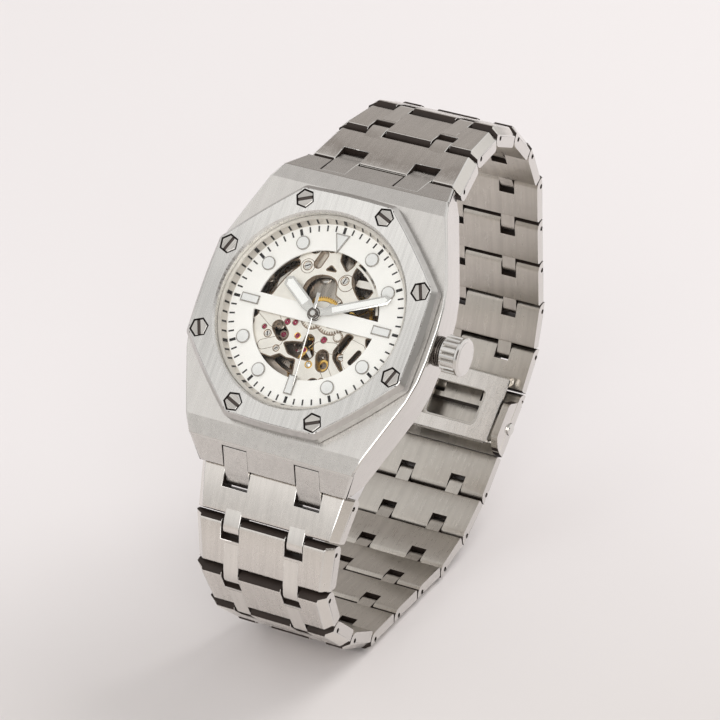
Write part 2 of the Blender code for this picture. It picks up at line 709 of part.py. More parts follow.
def make_outer_blade():
    """From its hinge in the cover back towards the upper strand."""
    half = OUTER_BLADE_HALF
    span = COVER_HINGE[0] - BLADE_HINGE[0]
    blade = box(-half, half, -span, 0.0, -0.35, 0.35)
    for y, pin_half in ((0, CLASP_HALF - 0.7), (-span, 8.4)):
        add(blade, rod_x(KNUCKLE_R, -half, half, 10, (y, 0)),
            rod_x(HINGE_PIN_R, -pin_half, pin_half, 10, (y, 0)))
    cut(blade, box(-4.4, 4.4, -span + 2.2, -2.2, -2, 2))
    place(blade, "clasp_outer_blade", STEEL, in_clasp(*COVER_HINGE))


def make_inner_blade():
    """From the outer blade's free end forward again, on the wrist side."""
    blade = box(-INNER_BLADE_HALF, INNER_BLADE_HALF, 0.1, 11.5, -1.4, -0.75)
    for x0, x1 in both_sides(INNER_BLADE_HALF - 0.75, INNER_BLADE_HALF):
        add(blade, side_prism(BLADE_EAR, x0, x1))
    cut(blade, rod_x(HINGE_BORE_R, -9, 9))
    place(blade, "clasp_inner_blade", STEEL, in_clasp(*BLADE_HINGE))


def make_push_buttons():
    foot, rim = CLASP_HALF - 1.2, CLASP_HALF + 0.25
    top = CLASP_HALF + 0.45
    for side, name in ((1, "right"), (-1, "left")):
        button = turned([(0, foot), (0.98, foot), (0.98, rim), (0.8, top), (0, top)], 14)
        place(turn(button, 90 * side, 'Y'), "push_button_%s" % name, POLISHED,
              in_clasp(*BUTTON))


def make_lower_end():
    end = link_solid(10, PITCH, CLASP_SPAN - COVER_END - END_GAP, tabs=False)
    place(end, "clasp_lower_end", STEEL, strand_frame(LOWER[10], 360.0 - CLASP_HEADING, -1))


for make in (make_mid_case, make_bezel, make_bezel_screws, make_crystal_and_rings, make_dial,
             make_holder_and_plate, make_bridges, make_going_train, make_pallet_fork,
             make_balance, make_rotor, make_case_back, make_crown_and_stem, make_hands,
             make_links, make_clasp_cover, make_outer_blade, make_inner_blade,
             make_push_buttons, make_lower_end):
    make()

# Drop the meshes left over from the booleans.
for spare in list(bpy.data.meshes):
    if spare.users == 0:
        bpy.data.meshes.remove(spare)
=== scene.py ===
"""Steel wristwatch: octagonal bezel, cut-out dial over its movement, closed link bracelet.

Lengths are millimetres; MM scales them as they reach Blender. In the watch's own frame the dial
faces +Z, 12 o'clock is +Y, 3 o'clock and the crown are +X, and z = 0 is the top of the bezel.
WATCH tilts that frame so that the outer face of lower link 7 lies on the floor at the origin.
"""
import math
import bpy
import bmesh
from mathutils import Matrix, Vector


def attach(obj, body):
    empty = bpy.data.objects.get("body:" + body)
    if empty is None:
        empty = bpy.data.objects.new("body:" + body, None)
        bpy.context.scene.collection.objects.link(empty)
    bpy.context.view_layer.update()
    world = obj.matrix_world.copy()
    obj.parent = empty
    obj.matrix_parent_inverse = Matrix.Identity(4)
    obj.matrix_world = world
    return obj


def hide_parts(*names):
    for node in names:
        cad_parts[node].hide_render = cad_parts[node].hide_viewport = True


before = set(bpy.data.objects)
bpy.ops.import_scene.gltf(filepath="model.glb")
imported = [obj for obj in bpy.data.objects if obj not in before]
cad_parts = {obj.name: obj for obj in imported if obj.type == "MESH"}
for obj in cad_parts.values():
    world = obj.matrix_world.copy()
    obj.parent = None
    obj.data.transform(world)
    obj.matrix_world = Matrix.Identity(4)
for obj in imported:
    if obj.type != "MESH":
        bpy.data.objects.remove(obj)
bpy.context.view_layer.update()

MM = 0.001

# ---------------------------------------------------------------- shared dimensions
LUG_PIN_Y, LUG_PIN_Z = 26.0, -10.4
PITCH = 8.0
UPPER_PITCH = [PITCH] * 10
LOWER_PITCH = [7.5] + [PITCH] * 9
# direction of each link in degrees below the horizontal, counted from the case
UPPER_HEADING = [32.0, 47.0, 72.0, 91.0, 109.0, 132.0, 132.0, 133.0, 152.0, 175.0]
LOWER_HEADING = [15.0, 37.0, 67.0, 91.0, 105.0, 132.5, 132.5, 132.5, 149.0, 164.0]
REST_LINK = 7
TILT = 180.0 - LOWER_HEADING[REST_LINK - 1]
LINK_OUT, LINK_IN = 1.6, -1.5               # outer and inner faces, from the pin line
REAR_LIP, FRONT_GAP, TAB_R, BORE_R = 1.5, 1.8, 1.4, 0.62
LINK_CHAMFER = 1.25
WIDE, NARROW, TAPER_LINKS = 13.2, 9.95, 2.4  # bracelet half widths, and how fast they fall
END_NOTCH = (4.1, 8.5)
DIAL_Z = -2.8
CROWN_Z = -6.0
HOUR_ANGLE, MINUTE_ANGLE, SECOND_ANGLE = 305.0, 66.0, 176.0


def half_width(link):
    return NARROW + (WIDE - NARROW) * math.exp(-link / TAPER_LINKS)


def notch(link):
    """Inner and outer x of the notch at the rear of a link."""
    if link == 0:
        return END_NOTCH
    half = half_width(link)
    return 0.33 * half, 0.33 * half + 0.265 * half


def strand(pitches, headings):
    """Pin positions (y, z) from the case outwards."""
    y, z = LUG_PIN_Y, LUG_PIN_Z
    pins = [(y, z)]
    for pitch, heading in zip(pitches, headings):
        angle = math.radians(heading)
        y += pitch * math.cos(angle)
        z -= pitch * math.sin(angle)
        pins.append((y, z))
    return pins


UPPER = strand(UPPER_PITCH, UPPER_HEADING)
LOWER = [(-y, z) for y, z in strand(LOWER_PITCH, LOWER_HEADING)]
CLASP_DY = LOWER[10][0] - UPPER[10][0]
CLASP_DZ = LOWER[10][1] - UPPER[10][1]
CLASP_SPAN = math.hypot(CLASP_DY, CLASP_DZ)
CLASP_HEADING = 180.0 + math.degrees(math.atan2(CLASP_DZ, -CLASP_DY))


def resting_frame():
    """Matrix that tilts the watch and brings the middle of the resting link to the origin."""
    near, far = LOWER[REST_LINK - 1], LOWER[REST_LINK]
    heading = math.radians(LOWER_HEADING[REST_LINK - 1])
    y = (near[0] + far[0]) / 2 - LINK_OUT * math.sin(heading)
    z = (near[1] + far[1]) / 2 + LINK_OUT * math.cos(heading)
    tilt = Matrix.Rotation(math.radians(TILT), 4, 'X')
    return Matrix.Translation(-(tilt @ Vector((0.0, y, z))) * MM) @ tilt


WATCH = resting_frame()


# --------------------------------------------------------------------- shader tools
BUMP_DISTANCE = 0.00002


def is_socket(value):
    return isinstance(value, bpy.types.NodeSocket)


def node(tree, kind, inputs=None, **settings):
    """Add a shader node; an input given a socket is linked, any other is set."""
    new = tree.nodes.new("ShaderNode" + kind)
    for key, value in settings.items():
        setattr(new, key, value)
    for key, value in (inputs or {}).items():
        if is_socket(value):
            tree.links.new(value, new.inputs[key])
        else:
            new.inputs[key].default_value = value
    return new


def new_material(name):
    material = bpy.data.materials.new(name)
    material.use_nodes = True
    tree = material.node_tree
    return material, tree, tree.nodes["Principled BSDF"]


def noise(tree, scale, detail, rough):
    coords = node(tree, "TexCoord").outputs["Object"]
    mapped = node(tree, "Mapping", {"Vector": coords, "Scale": scale}).outputs["Vector"]
    settings = {"Vector": mapped, "Scale": 1.0, "Detail": detail, "Roughness": rough}
    return node(tree, "TexNoise", settings).outputs["Fac"]


def remap(tree, value, source, target=(0.0, 1.0), **settings):
    inputs = {"Value": value, "From Min": source[0], "From Max": source[1],
              "To Min": target[0], "To Max": target[1]}
    return node(tree, "MapRange", inputs, **settings).outputs["Result"]


def mix(tree, factor, first, second, **settings):
    first, second = (c if is_socket(c) else (*c, 1) for c in (first, second))
    inputs = {0: factor, 6: first, 7: second}
    return node(tree, "Mix", inputs, data_type='RGBA', **settings).outputs[2]


def colour_ramp(tree, factor, stops, interpolation='LINEAR'):
    """Ramp through (position, colour) stops, the first of which is at 0."""
    new = node(tree, "ValToRGB", {"Fac": factor})
    new.color_ramp.interpolation = interpolation
    elements = new.color_ramp.elements
    elements.remove(elements[-1])
    elements[0].color = (*stops[0][1], 1)
    for position, colour in stops[1:]:
        elements.new(position).color = (*colour, 1)
    return new.outputs["Color"]


def facing(tree, coords, direction, lo, hi):
    """0 to 1 as the coordinate's reach along a direction goes from lo to hi."""
    reach = node(tree, "VectorMath", {0: coords, 1: direction}, operation='DOT_PRODUCT')
    return remap(tree, reach.outputs["Value"], (lo, hi), interpolation_type='SMOOTHSTEP')


def set_bump(tree, shader, height, strength):
    inputs = {"Height": height, "Strength": strength, "Distance": BUMP_DISTANCE}
    tree.links.new(node(tree, "Bump", inputs).outputs["Normal"], shader.inputs["Normal"])


def darker(colour, variation):
    return tuple(c * (1 - variation) for c in colour)


def metal(name, colour, rough, along=1, streak=1.0, spread=0.07, var=0.10, metallic=1.0,
          bump=0.25):
    """Brushed metal: streaks run along local axis number `along`.

    streak scales their fineness, spread is the swing of the roughness, var that of the tone.
    """
    material, tree, shader = new_material(name)
    fine, wide = [9000.0 * streak] * 3, [1500.0 * streak] * 3
    fine[along], wide[along] = 260.0, 60.0
    fine_noise = noise(tree, fine, detail=3.0, rough=0.6)
    wide_noise = noise(tree, wide, detail=4.0, rough=0.65)
    light = tuple(min(1.0, c * (1 + var * 0.6)) for c in colour)
    tone = remap(tree, wide_noise, (0.32, 0.68))
    tree.links.new(mix(tree, tone, darker(colour, var), light), shader.inputs["Base Color"])
    tree.links.new(remap(tree, fine_noise, (0.3, 0.7), (rough - spread, rough + spread)),
                   shader.inputs["Roughness"])
    shader.inputs["Metallic"].default_value = metallic
    set_bump(tree, shader, fine_noise, bump)
    return material


def polished(name, colour, rough=0.12, var=0.05):
    material, tree, shader = new_material(name)
    cloud = noise(tree, (2200.0,) * 3, detail=5.0, rough=0.7)
    tone = remap(tree, cloud, (0.35, 0.65))
    tree.links.new(mix(tree, tone, darker(colour, var), colour), shader.inputs["Base Color"])
    tree.links.new(remap(tree, cloud, (0.3, 0.7), (rough * 0.6, rough * 1.5)),
                   shader.inputs["Roughness"])
    shader.inputs["Metallic"].default_value = 1.0
    return material


def frosted(name, colour, rough=0.45, metallic=0.9, grain=9000.0, bump=0.35, var=0.06):
    """Even, fine-grained surface; grain is the scale of its bumps."""
    material, tree, shader = new_material(name)
    fine_noise = noise(tree, (grain,) * 3, detail=2.0, rough=0.6)
    cloud = noise(tree, (500.0,) * 3, detail=3.0, rough=0.5)
    tone = remap(tree, cloud, (0.35, 0.65))
    tree.links.new(mix(tree, tone, darker(colour, var), colour), shader.inputs["Base Color"])
    tree.links.new(remap(tree, fine_noise, (0.3, 0.7), (rough - 0.06, rough + 0.06)),
                   shader.inputs["Roughness"])
    shader.inputs["Metallic"].default_value = metallic
    set_bump(tree, shader, fine_noise, bump)
    return material


def clear_glass(name, gloss):
    """Transparent sheet with a reflection that grows towards grazing angles."""
    material, tree, shader = new_material(name)
    tree.nodes.remove(shader)
    through = node(tree, "BsdfTransparent", {"Color": (0.985, 0.99, 0.988, 1)})
    mirror = node(tree, "BsdfGlossy", {"Roughness": 0.02})
    fresnel = node(tree, "Fresnel", {"IOR": 1.5}).outputs["Fac"]
    share = node(tree, "Math", {0: fresnel, 1: gloss}, operation='MULTIPLY')
    blend = node(tree, "MixShader", {"Fac": share.outputs["Value"], 1: through.outputs["BSDF"],
                                     2: mirror.outputs["BSDF"]})
    tree.links.new(blend.outputs["Shader"], tree.nodes["Material Output"].inputs["Surface"])
    return material


def worn(material, amount=0.10):
    """Add faint cloudy handling marks to a metal's roughness."""
    tree = material.node_tree
    roughness = tree.nodes["Principled BSDF"].inputs["Roughness"]
    clean = roughness.links[0].from_socket
    marks = remap(tree, noise(tree, (700.0,) * 3, detail=5.0, rough=0.65), (0.45, 0.75),
                  (0.0, amount))
    total = node(tree, "Math", {0: clean, 1: marks}, operation='ADD')
    tree.links.new(total.outputs["Value"], roughness)
    return material


def paint_light_round_axis(material, stops):
    """Paint highlight and shade on a metal: scale its tone by (degrees, tone) stops round the
    part's axis.
    """
    tree = material.node_tree
    base = tree.nodes["Principled BSDF"].inputs["Base Color"]
    plain = base.links[0].from_socket
    coords = node(tree, "TexCoord").outputs["Object"]
    sweep = node(tree, "TexGradient", {"Vector": coords}, gradient_type='RADIAL')
    tones = colour_ramp(tree, sweep.outputs["Fac"],
                        [(degrees / 360.0, (tone,) * 3) for degrees, tone in stops], 'EASE')
    tree.links.new(mix(tree, 1.0, plain, tones, blend_type='MULTIPLY'), base)
    return material


# ------------------------------------------------------------------------ materials
BRUSHED = worn(metal("steel_brushed", (0.78, 0.745, 0.705), rough=0.23, spread=0.05, var=0.07,
                     bump=0.14))
CASE_TOP = worn(metal("case_brushed", (0.715, 0.695, 0.668), rough=0.27, streak=0.8,
                      spread=0.05, var=0.06, bump=0.16))
# painted highlight and shade round the bezel top, lightest near 12 and darkest at 9; 0 degrees is 9
# o'clock, then come 6, 3 and 12
BEZEL_PAINTED_LIGHT = [(0, 0.72), (40, 0.80), (70, 0.88), (100, 0.84), (140, 0.80), (180, 0.84),
               (215, 0.96), (240, 1.0), (262, 1.04), (290, 1.0), (315, 0.94), (340, 0.80),
               (360, 0.72)]
# bezel top: brushed steel with painted highlight and shade round it
BEZEL_TOP = paint_light_round_axis(metal("bezel_brushed_painted_light", (0.86, 0.85, 0.825), rough=0.27, streak=1.1,
                        spread=0.06, var=0.13, bump=0.3), BEZEL_PAINTED_LIGHT)
# bezel foot: darker copy of the bezel steel, painted shade
BEZEL_FOOT_SHADE = metal("bezel_foot_painted_shade", (0.40, 0.39, 0.375), rough=0.42, along=2, streak=0.8,
                   spread=0.05, var=0.08, bump=0.15)
# bezel slopes: darker copy of the bezel steel, painted shade
BEZEL_SLOPE_SHADE = metal("bezel_slope_painted_shade", (0.60, 0.585, 0.565), rough=0.34, streak=0.8, spread=0.05,
                    var=0.08, bump=0.15)
# crown flutes: dark steel in the grooves between ridges, painted shade
FLUTE_SHADE = metal("crown_flute_painted_shade", (0.34, 0.32, 0.30), rough=0.36, streak=0.3, var=0.15)
# bezel side towards 3 o'clock: darker copy of the bezel steel, painted shade
BEZEL_SIDE_SHADE = metal("bezel_facet_painted_shade", (0.50, 0.49, 0.47), rough=0.34, streak=0.8, spread=0.05,
                   var=0.08, bump=0.15)
# inside and underside faces: darker, warmer copy of the steel, painted shade
INNER_SHADE = worn(metal("steel_inner_painted_shade", (0.62, 0.585, 0.535), rough=0.30, spread=0.05, var=0.08,
                   bump=0.14))
POLISH = polished("steel_polished", (0.77, 0.755, 0.73), rough=0.11)
FLANK = metal("steel_flank", (0.72, 0.70, 0.675), rough=0.16, streak=0.6, spread=0.05,
              var=0.04, bump=0.1)
FACET = worn(polished("steel_facet", (0.76, 0.73, 0.69), rough=0.16), amount=0.08)
# tab tops: lighter copy of the link steel, painted highlight
TAB_HIGHLIGHT_STEEL = worn(metal("steel_tab_painted_highlight", (0.84, 0.81, 0.77), rough=0.19, spread=0.04, var=0.05,
                       bump=0.08))
SCREW_TOP = metal("screw_brushed", (0.58, 0.56, 0.53), rough=0.27, along=0, streak=0.5, var=0.2)
# near-black steel for recesses, notch walls and end faces between links: painted shade
RECESS_SHADE = frosted("steel_recess_painted_shade", (0.030, 0.021, 0.017), rough=0.55, metallic=0.0, bump=0.1,
              var=0.25)
RECESS_SHADE.node_tree.nodes["Principled BSDF"].inputs["Specular IOR Level"].default_value = 0.25
# near black for the bezel screw holes and the boxes in the screw slots: painted shade
SCREW_RECESS_SHADE = frosted("screw_recess_painted_shade", (0.055, 0.042, 0.036), rough=0.6, metallic=0.2)
SATIN = metal("flange_satin", (0.70, 0.655, 0.60), rough=0.38, along=2, streak=0.5, var=0.06,
              metallic=0.6)
DIAL_FACE = frosted("dial_silvered", (1.0, 0.98, 0.95), rough=0.42, metallic=0.0, grain=6000.0,
                    bump=0.08, var=0.02)
INK = frosted("tick_ink", (0.012, 0.009, 0.009), rough=0.45, metallic=0.0, var=0.3)
LUME = frosted("marker_fill", (0.86, 0.855, 0.845), rough=0.25, metallic=0.0, bump=0.15,
               var=0.06)
HAND_FILL = frosted("hand_fill", (0.98, 0.975, 0.96), rough=0.30, metallic=0.0, bump=0.1,
                    var=0.03)
EDGE = polished("edge_break", (0.76, 0.75, 0.73), rough=0.30, var=0.02)
# dark brown frames round the plate's openings and holes: painted shade
OPENING_EDGE_SHADE = metal("opening_edge_painted_shade", (0.24, 0.175, 0.125), rough=0.30, streak=0.4, var=0.35,
                   bump=0.1)
# dark brown rings in the countersinks round the plate screws: painted shade
SINK_SHADE = polished("countersink_painted_shade", (0.30, 0.20, 0.13), rough=0.22, var=0.3)
RIM = polished("marker_rim", (0.50, 0.48, 0.455), rough=0.14, var=0.12)
RHOD = frosted("plate_frosted", (0.97, 0.925, 0.855), rough=0.40, metallic=0.75, grain=7000.0,
               var=0.10)
ANGLAGE = polished("plate_bevels", (0.30, 0.24, 0.19), rough=0.20)
# dark brown for the walls of the plate's openings and the discs under the toothed rings: painted
# shade
WALL_SHADE = frosted("plate_wall_painted_shade", (0.36, 0.285, 0.225), rough=0.40, metallic=0.8, bump=0.1, var=0.25)
# dark brown steel for the movement's deep floor, holder ring and the bar under the oval slot:
# painted shade
DEEP_SHADE = metal("movement_deep_painted_shade", (0.30, 0.24, 0.195), rough=0.38, streak=0.35, var=0.45)
SHADE = metal("movement_shade", (0.50, 0.43, 0.37), rough=0.34, along=0, streak=0.3, var=0.35)
DRUM = metal("barrel_lid", (0.47, 0.42, 0.37), rough=0.28, streak=0.3, var=0.45)
GOLD = polished("gilt", (0.88, 0.56, 0.16), rough=0.20, var=0.12)
RUBY = frosted("ruby", (0.33, 0.02, 0.07), rough=0.12, metallic=0.0, bump=0.0, var=0.3)
GLASS = clear_glass("crystal_clear", gloss=0.22)
COLLAR = polished("collar_dark", (0.17, 0.15, 0.135), rough=0.25)
STRIPES = metal("rotor_stripes", (0.66, 0.64, 0.60), rough=0.24, streak=0.12, var=0.22)


# ------------------------------------------------------------------------- outlines
def circle(r, segs, centre=(0.0, 0.0)):
    return [(centre[0] + r * math.cos(2 * math.pi * k / segs),
             centre[1] + r * math.sin(2 * math.pi * k / segs)) for k in range(segs)]


def polar(r, degrees):
    """Point at radius r, degrees clockwise from 12."""
    angle = math.radians(degrees)
    return r * math.sin(angle), r * math.cos(angle)


def arc(r, start, end, steps, centre=(0.0, 0.0)):
    """Points from start to end degrees, anticlockwise from the first axis."""
    angles = [math.radians(start + (end - start) * k / steps) for k in range(steps + 1)]
    return [(centre[0] + r * math.cos(a), centre[1] + r * math.sin(a)) for a in angles]


def sector(r0, r1, start, end, steps):
    return arc(r1, start, end, steps) + arc(r0, end, start, steps)


def rectangle(x0, x1, y0, y1):
    return [(x0, y0), (x1, y0), (x1, y1), (x0, y1)]


def hexagon(across):
    r = across / math.sqrt(3)
    angles = [math.pi / 2 + math.pi / 3 * k for k in range(6)]
    return [(r * math.cos(a), r * math.sin(a)) for a in angles]


def toothed(count, tooth):
    """Outline from one tooth's (share of the tooth pitch, radius) points."""
    step = 2 * math.pi / count
    points = []
    for k in range(count):
        middle = 2 * math.pi * k / count
        points += [(r * math.cos(middle + share * step), r * math.sin(middle + share * step))
                   for share, r in tooth]
    return points


def gear(count, r, depth):
    root, flank = r - depth, r - depth * 0.3
    return toothed(count, [(-0.30, root), (-0.17, flank), (-0.08, r), (0.08, r), (0.17, flank),
                           (0.30, root)])


def capsule(start, end, width):
    """Slot with round ends between two centres."""
    heading = math.atan2(end[1] - start[1], end[0] - start[0])
    r, steps, points = width / 2, 10, []
    for centre, side in ((start, math.pi / 2), (end, -math.pi / 2)):
        for k in range(steps + 1):
            a = heading + side + math.pi * k / steps
            points.append((centre[0] + r * math.cos(a), centre[1] + r * math.sin(a)))
    return points


def rounded(points, r, steps=4):
    """Round the corners of an outline with quadratic curves."""
    out = []
    for i in range(len(points)):
        before, corner, after = (Vector(points[j]) for j in (i - 1, i, (i + 1) % len(points)))
        a = corner + (before - corner).normalized() * min(r, (before - corner).length * 0.45)
        b = corner + (after - corner).normalized() * min(r, (after - corner).length * 0.45)
        for k in range(steps + 1):
            t = k / steps
            q = a * (1 - t) ** 2 + corner * 2 * t * (1 - t) + b * t * t
            out.append((q.x, q.y))
    return out


def winding(points):
    """1 for an anticlockwise outline, -1 for a clockwise one."""
    after = points[1:] + points[:1]
    area = sum(p[0] * q[1] - q[0] * p[1] for p, q in zip(points, after))
    return 1.0 if area > 0 else -1.0


def inset(points, distance):
    """Shrink a convex outline."""
    out, sign = [], winding(points)
    for i, (x1, y1) in enumerate(points):
        (x0, y0), (x2, y2) = points[i - 1], points[(i + 1) % len(points)]
        a = Vector((x1 - x0, y1 - y0)).normalized()
        b = Vector((x2 - x1, y2 - y1)).normalized()
        normal_a, normal_b = Vector((-a.y, a.x)) * sign, Vector((-b.y, b.x)) * sign
        middle = (normal_a + normal_b).normalized()
        k = distance / max(0.25, middle.dot(normal_a))
        out.append((x1 + middle.x * k, y1 + middle.y * k))
    return out


def both_sides(lo, hi):
    """An x range and its mirror image."""
    return [(lo, hi), (-hi, -lo)]


# ----------------------------------------------------------------------- mesh tools
def solid(verts, faces):
    mesh = bpy.data.meshes.new("m")
    mesh.from_pydata([(x * MM, y * MM, z * MM) for x, y, z in verts], [], faces)
    bm = bmesh.new()
    bm.from_mesh(mesh)
    bmesh.ops.recalc_face_normals(bm, faces=bm.faces)
    bm.to_mesh(mesh)
    bm.free()
    part = bpy.data.objects.new("tmp", mesh)
    bpy.context.scene.collection.objects.link(part)
    return part


def band(first, second, count):
    """Quads between two closed rings of vertices that start at the given indices."""
    return [[first + i, first + (i + 1) % count, second + (i + 1) % count, second + i]
            for i in range(count)]


def skin(rings):
    """Solid through rings of points, capped at both ends."""
    count, last = len(rings[0]), len(rings) - 1
    faces = [list(range(count)), list(range(last * count, (last + 1) * count))]
    for i in range(last):
        faces += band(i * count, (i + 1) * count, count)
    return solid([point for ring_points in rings for point in ring_points], faces)


def loft(levels):
    """Solid through (outline, z) levels."""
    return skin([[(x, y, z) for x, y in outline] for outline, z in levels])


def prism(outline, z0, z1):
    return loft([(outline, z0), (outline, z1)])


def side_prism(outline, x0, x1):
    """Outline (y, z) extruded along x."""
    return skin([[(x, y, z) for y, z in outline] for x in (x0, x1)])


def disc(r, z0, z1, segs=32, centre=(0.0, 0.0)):
    return prism(circle(r, segs, centre), z0, z1)


def rod_x(r, x0, x1, segs=20, centre=(0.0, 0.0)):
    return side_prism(circle(r, segs, centre), x0, x1)


def side_rods(r, lo, hi, segs, centre=(0.0, 0.0)):
    return [rod_x(r, x0, x1, segs, centre) for x0, x1 in both_sides(lo, hi)]


def turned(profile, segs):
    """Closed profile of (radius, z) turned about z; radius 0 is a pole."""
    verts, rows = [], []
    for r, z in profile:
        start = len(verts)
        if r < 1e-9:
            verts.append((0.0, 0.0, z))
        else:
            verts += [(x, y, z) for x, y in circle(r, segs)]
        rows.append(list(range(start, len(verts))))
    faces = []
    for a, b in zip(rows, rows[1:] + rows[:1]):
        if len(a) == 1 and len(b) == 1:
            continue
        for k in range(segs):
            j = (k + 1) % segs
            if len(a) == 1:
                faces.append([a[0], b[k], b[j]])
            elif len(b) == 1:
                faces.append([a[k], a[j], b[0]])
            else:
                faces.append([a[k], a[j], b[j], b[k]])
    return solid(verts, faces)


def ring(r0, r1, z0, z1, segs):
    return turned(rectangle(r0, r1, z0, z1), segs)


def box(x0, x1, y0, y1, z0, z1):
    return prism(rectangle(x0, x1, y0, y1), z0, z1)


def border(outline, width, z0, z1):
    """Narrow frame that follows an outline on its outer side."""
    count, sign, outer = len(outline), winding(outline), []
    for i, (x, y) in enumerate(outline):
        run = Vector(outline[(i + 1) % count]) - Vector(outline[i - 1])
        run = run.normalized() if run.length > 1e-9 else Vector((1.0, 0.0))
        outer.append((x + sign * run.y * width, y - sign * run.x * width))
    verts = [(x, y, z) for points, z in ((outline, z0), (outer, z0), (outer, z1), (outline, z1))
             for x, y in points]
    faces = []
    for i in range(4):
        faces += band(i * count, (i + 1) % 4 * count, count)
    return solid(verts, faces)


def move(part, offset):
    part.data.transform(Matrix.Translation([c * MM for c in offset]))
    return part


def turn(part, degrees, axis='Z'):
    part.data.transform(Matrix.Rotation(math.radians(degrees), 4, axis))
    return part


def join(parts):
    """Several shells in one object, without a boolean."""
    bm = bmesh.new()
    for part in parts:
        bm.from_mesh(part.data)
    mesh = bpy.data.meshes.new("m")
    bm.to_mesh(mesh)
    bm.free()
    for part in parts[1:]:
        bpy.data.objects.remove(part, do_unlink=True)
    parts[0].data = mesh
    return parts[0]


def combine(part, other, operation):
    modifier = part.modifiers.new("b", 'BOOLEAN')
    modifier.operation = operation
    modifier.solver = 'EXACT'
    modifier.object = other
    depsgraph = bpy.context.evaluated_depsgraph_get()
    mesh = bpy.data.meshes.new_from_object(part.evaluated_get(depsgraph))
    part.modifiers.clear()
    part.data = mesh
    bpy.data.objects.remove(other, do_unlink=True)
    return part


def cut(part, *cutters):
    return combine(part, join(list(cutters)), 'DIFFERENCE')


def place(x=0.0, y=0.0, z=0.0, degrees=0.0):
    """Matrix that turns a part about z, then moves it."""
    return Matrix.Translation((x, y, z)) @ Matrix.Rotation(math.radians(degrees), 4, 'Z')


def finish(part, name, materials, slot, body="case", local=None, bevel=0.0, segs=2, angle=28.0,
           edge=None, replaces=None, pick=None, smooth=32.0, weight=None, clamp=True):
    """Give a part its materials, edge bevels, place, and the body that it rides on.

    pick(normal, centre) chooses each face's material; weight(middle, normal, normal) gives
    each sharp edge its share of the bevel; edge is the material of the bevels.
    """
    part.name = name
    part.data.name = name
    part.data.materials.clear()
    materials = list(materials) if isinstance(materials, (list, tuple)) else [materials]
    if edge is not None:
        materials.append(edge)
    for material in materials:
        part.data.materials.append(material)
    bm = bmesh.new()
    bm.from_mesh(part.data)
    bmesh.ops.remove_doubles(bm, verts=bm.verts, dist=1e-6)
    bmesh.ops.recalc_face_normals(bm, faces=bm.faces)
    for f in bm.faces:
        f.material_index = pick(f.normal, f.calc_center_median() / MM) if pick else 0
    if weight:
        layer = bm.edges.layers.float.new("bevel_weight_edge")
        for e in bm.edges:
            if len(e.link_faces) == 2 and e.calc_face_angle(0.0) > math.radians(angle):
                middle = (e.verts[0].co + e.verts[1].co) / 2 / MM
                e[layer] = weight(middle, e.link_faces[0].normal, e.link_faces[1].normal)
    bm.to_mesh(part.data)
    bm.free()
    part.data.shade_smooth()
    part.data.set_sharp_from_angle(angle=math.radians(smooth))
    matrix = Matrix.Identity(4) if local is None else local.copy()
    matrix.translation = matrix.translation * MM
    part.matrix_world = WATCH @ matrix
    if bevel:
        modifier = part.modifiers.new("edges", 'BEVEL')
        modifier.width = bevel * MM
        modifier.segments = segs
        modifier.limit_method = 'WEIGHT' if weight else 'ANGLE'
        modifier.angle_limit = math.radians(angle)
        modifier.harden_normals = True
        modifier.use_clamp_overlap = clamp
        if edge is not None:
            modifier.material = len(materials) - 1
    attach(part, body)
    if replaces:
        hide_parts(replaces)


def works(part, name, materials, **options):
    """Finish a part of the movement."""
    finish(part, name, materials, "movement_rhodium", **options)


# ----------------------------------------------------------------------------- case
# (x, y) of the right flank from 12 o'clock to the middle
CASE_FLANK = [(13.1, 25.6), (14.4, 22.3), (17.2, 15.0), (19.2, 9.6), (19.95, 6.0), (20.2, 2.5)]
INSET_X, INSET_Y = 20.25, 40.0  # an inset scales x and y down by its share of these
# (y, z) of the case seen from the side
CASE_SIDE = [(-25.4, -7.4), (-22.3, -3.9), (-19.6, -2.75), (19.6, -2.75), (22.3, -3.9),
             (25.4, -7.4), (24.3, -8.9), (22.0, -10.4), (-22.0, -10.4), (-24.3, -8.9)]
LUG_SEAT = [(22.75, -3.6), (26.5, -7.9), (26.5, -9.9), (22.75, -5.6)]  # (y, z)
# (y, z) of a lug before and after its round end
LUG_TOP = [(22.8, -5.2), (22.8, -4.62), (25.2, -7.2), (26.2, -8.5)]
LUG_UNDER = [(24.3, -10.9), (22.6, -9.6)]
SEAT_PLAY, LUG_PLAY = 0.02, 0.08


def case_plan(amount):
    k = (INSET_X - amount) / INSET_X
    right = [(x * k, y * (1 - amount / INSET_Y)) for x, y in CASE_FLANK]
    right += [(x, -y) for x, y in reversed(right)]
    return right + [(-x, y) for x, y in reversed(right)]


def case_middle():
    body = loft([(case_plan(0.0), -2.0), (case_plan(0.0), -3.6), (case_plan(0.8), -10.4)])
    combine(body, side_prism(CASE_SIDE, -24, 24), 'INTERSECT')
    cutters = [disc(15.9, -12, 0, 96), rod_x(1.56, 17, 26, 24, (0, CROWN_Z))]
    lo, hi = END_NOTCH[0] + SEAT_PLAY, END_NOTCH[1] - SEAT_PLAY
    for side in (1, -1):
        # shallow groove in which each end lug shows as its own inlay
        seat = [(side * y, z) for y, z in LUG_SEAT]
        cutters += [side_prism(seat, x0, x1) for x0, x1 in both_sides(lo, hi)]
    return cut(body, *cutters)


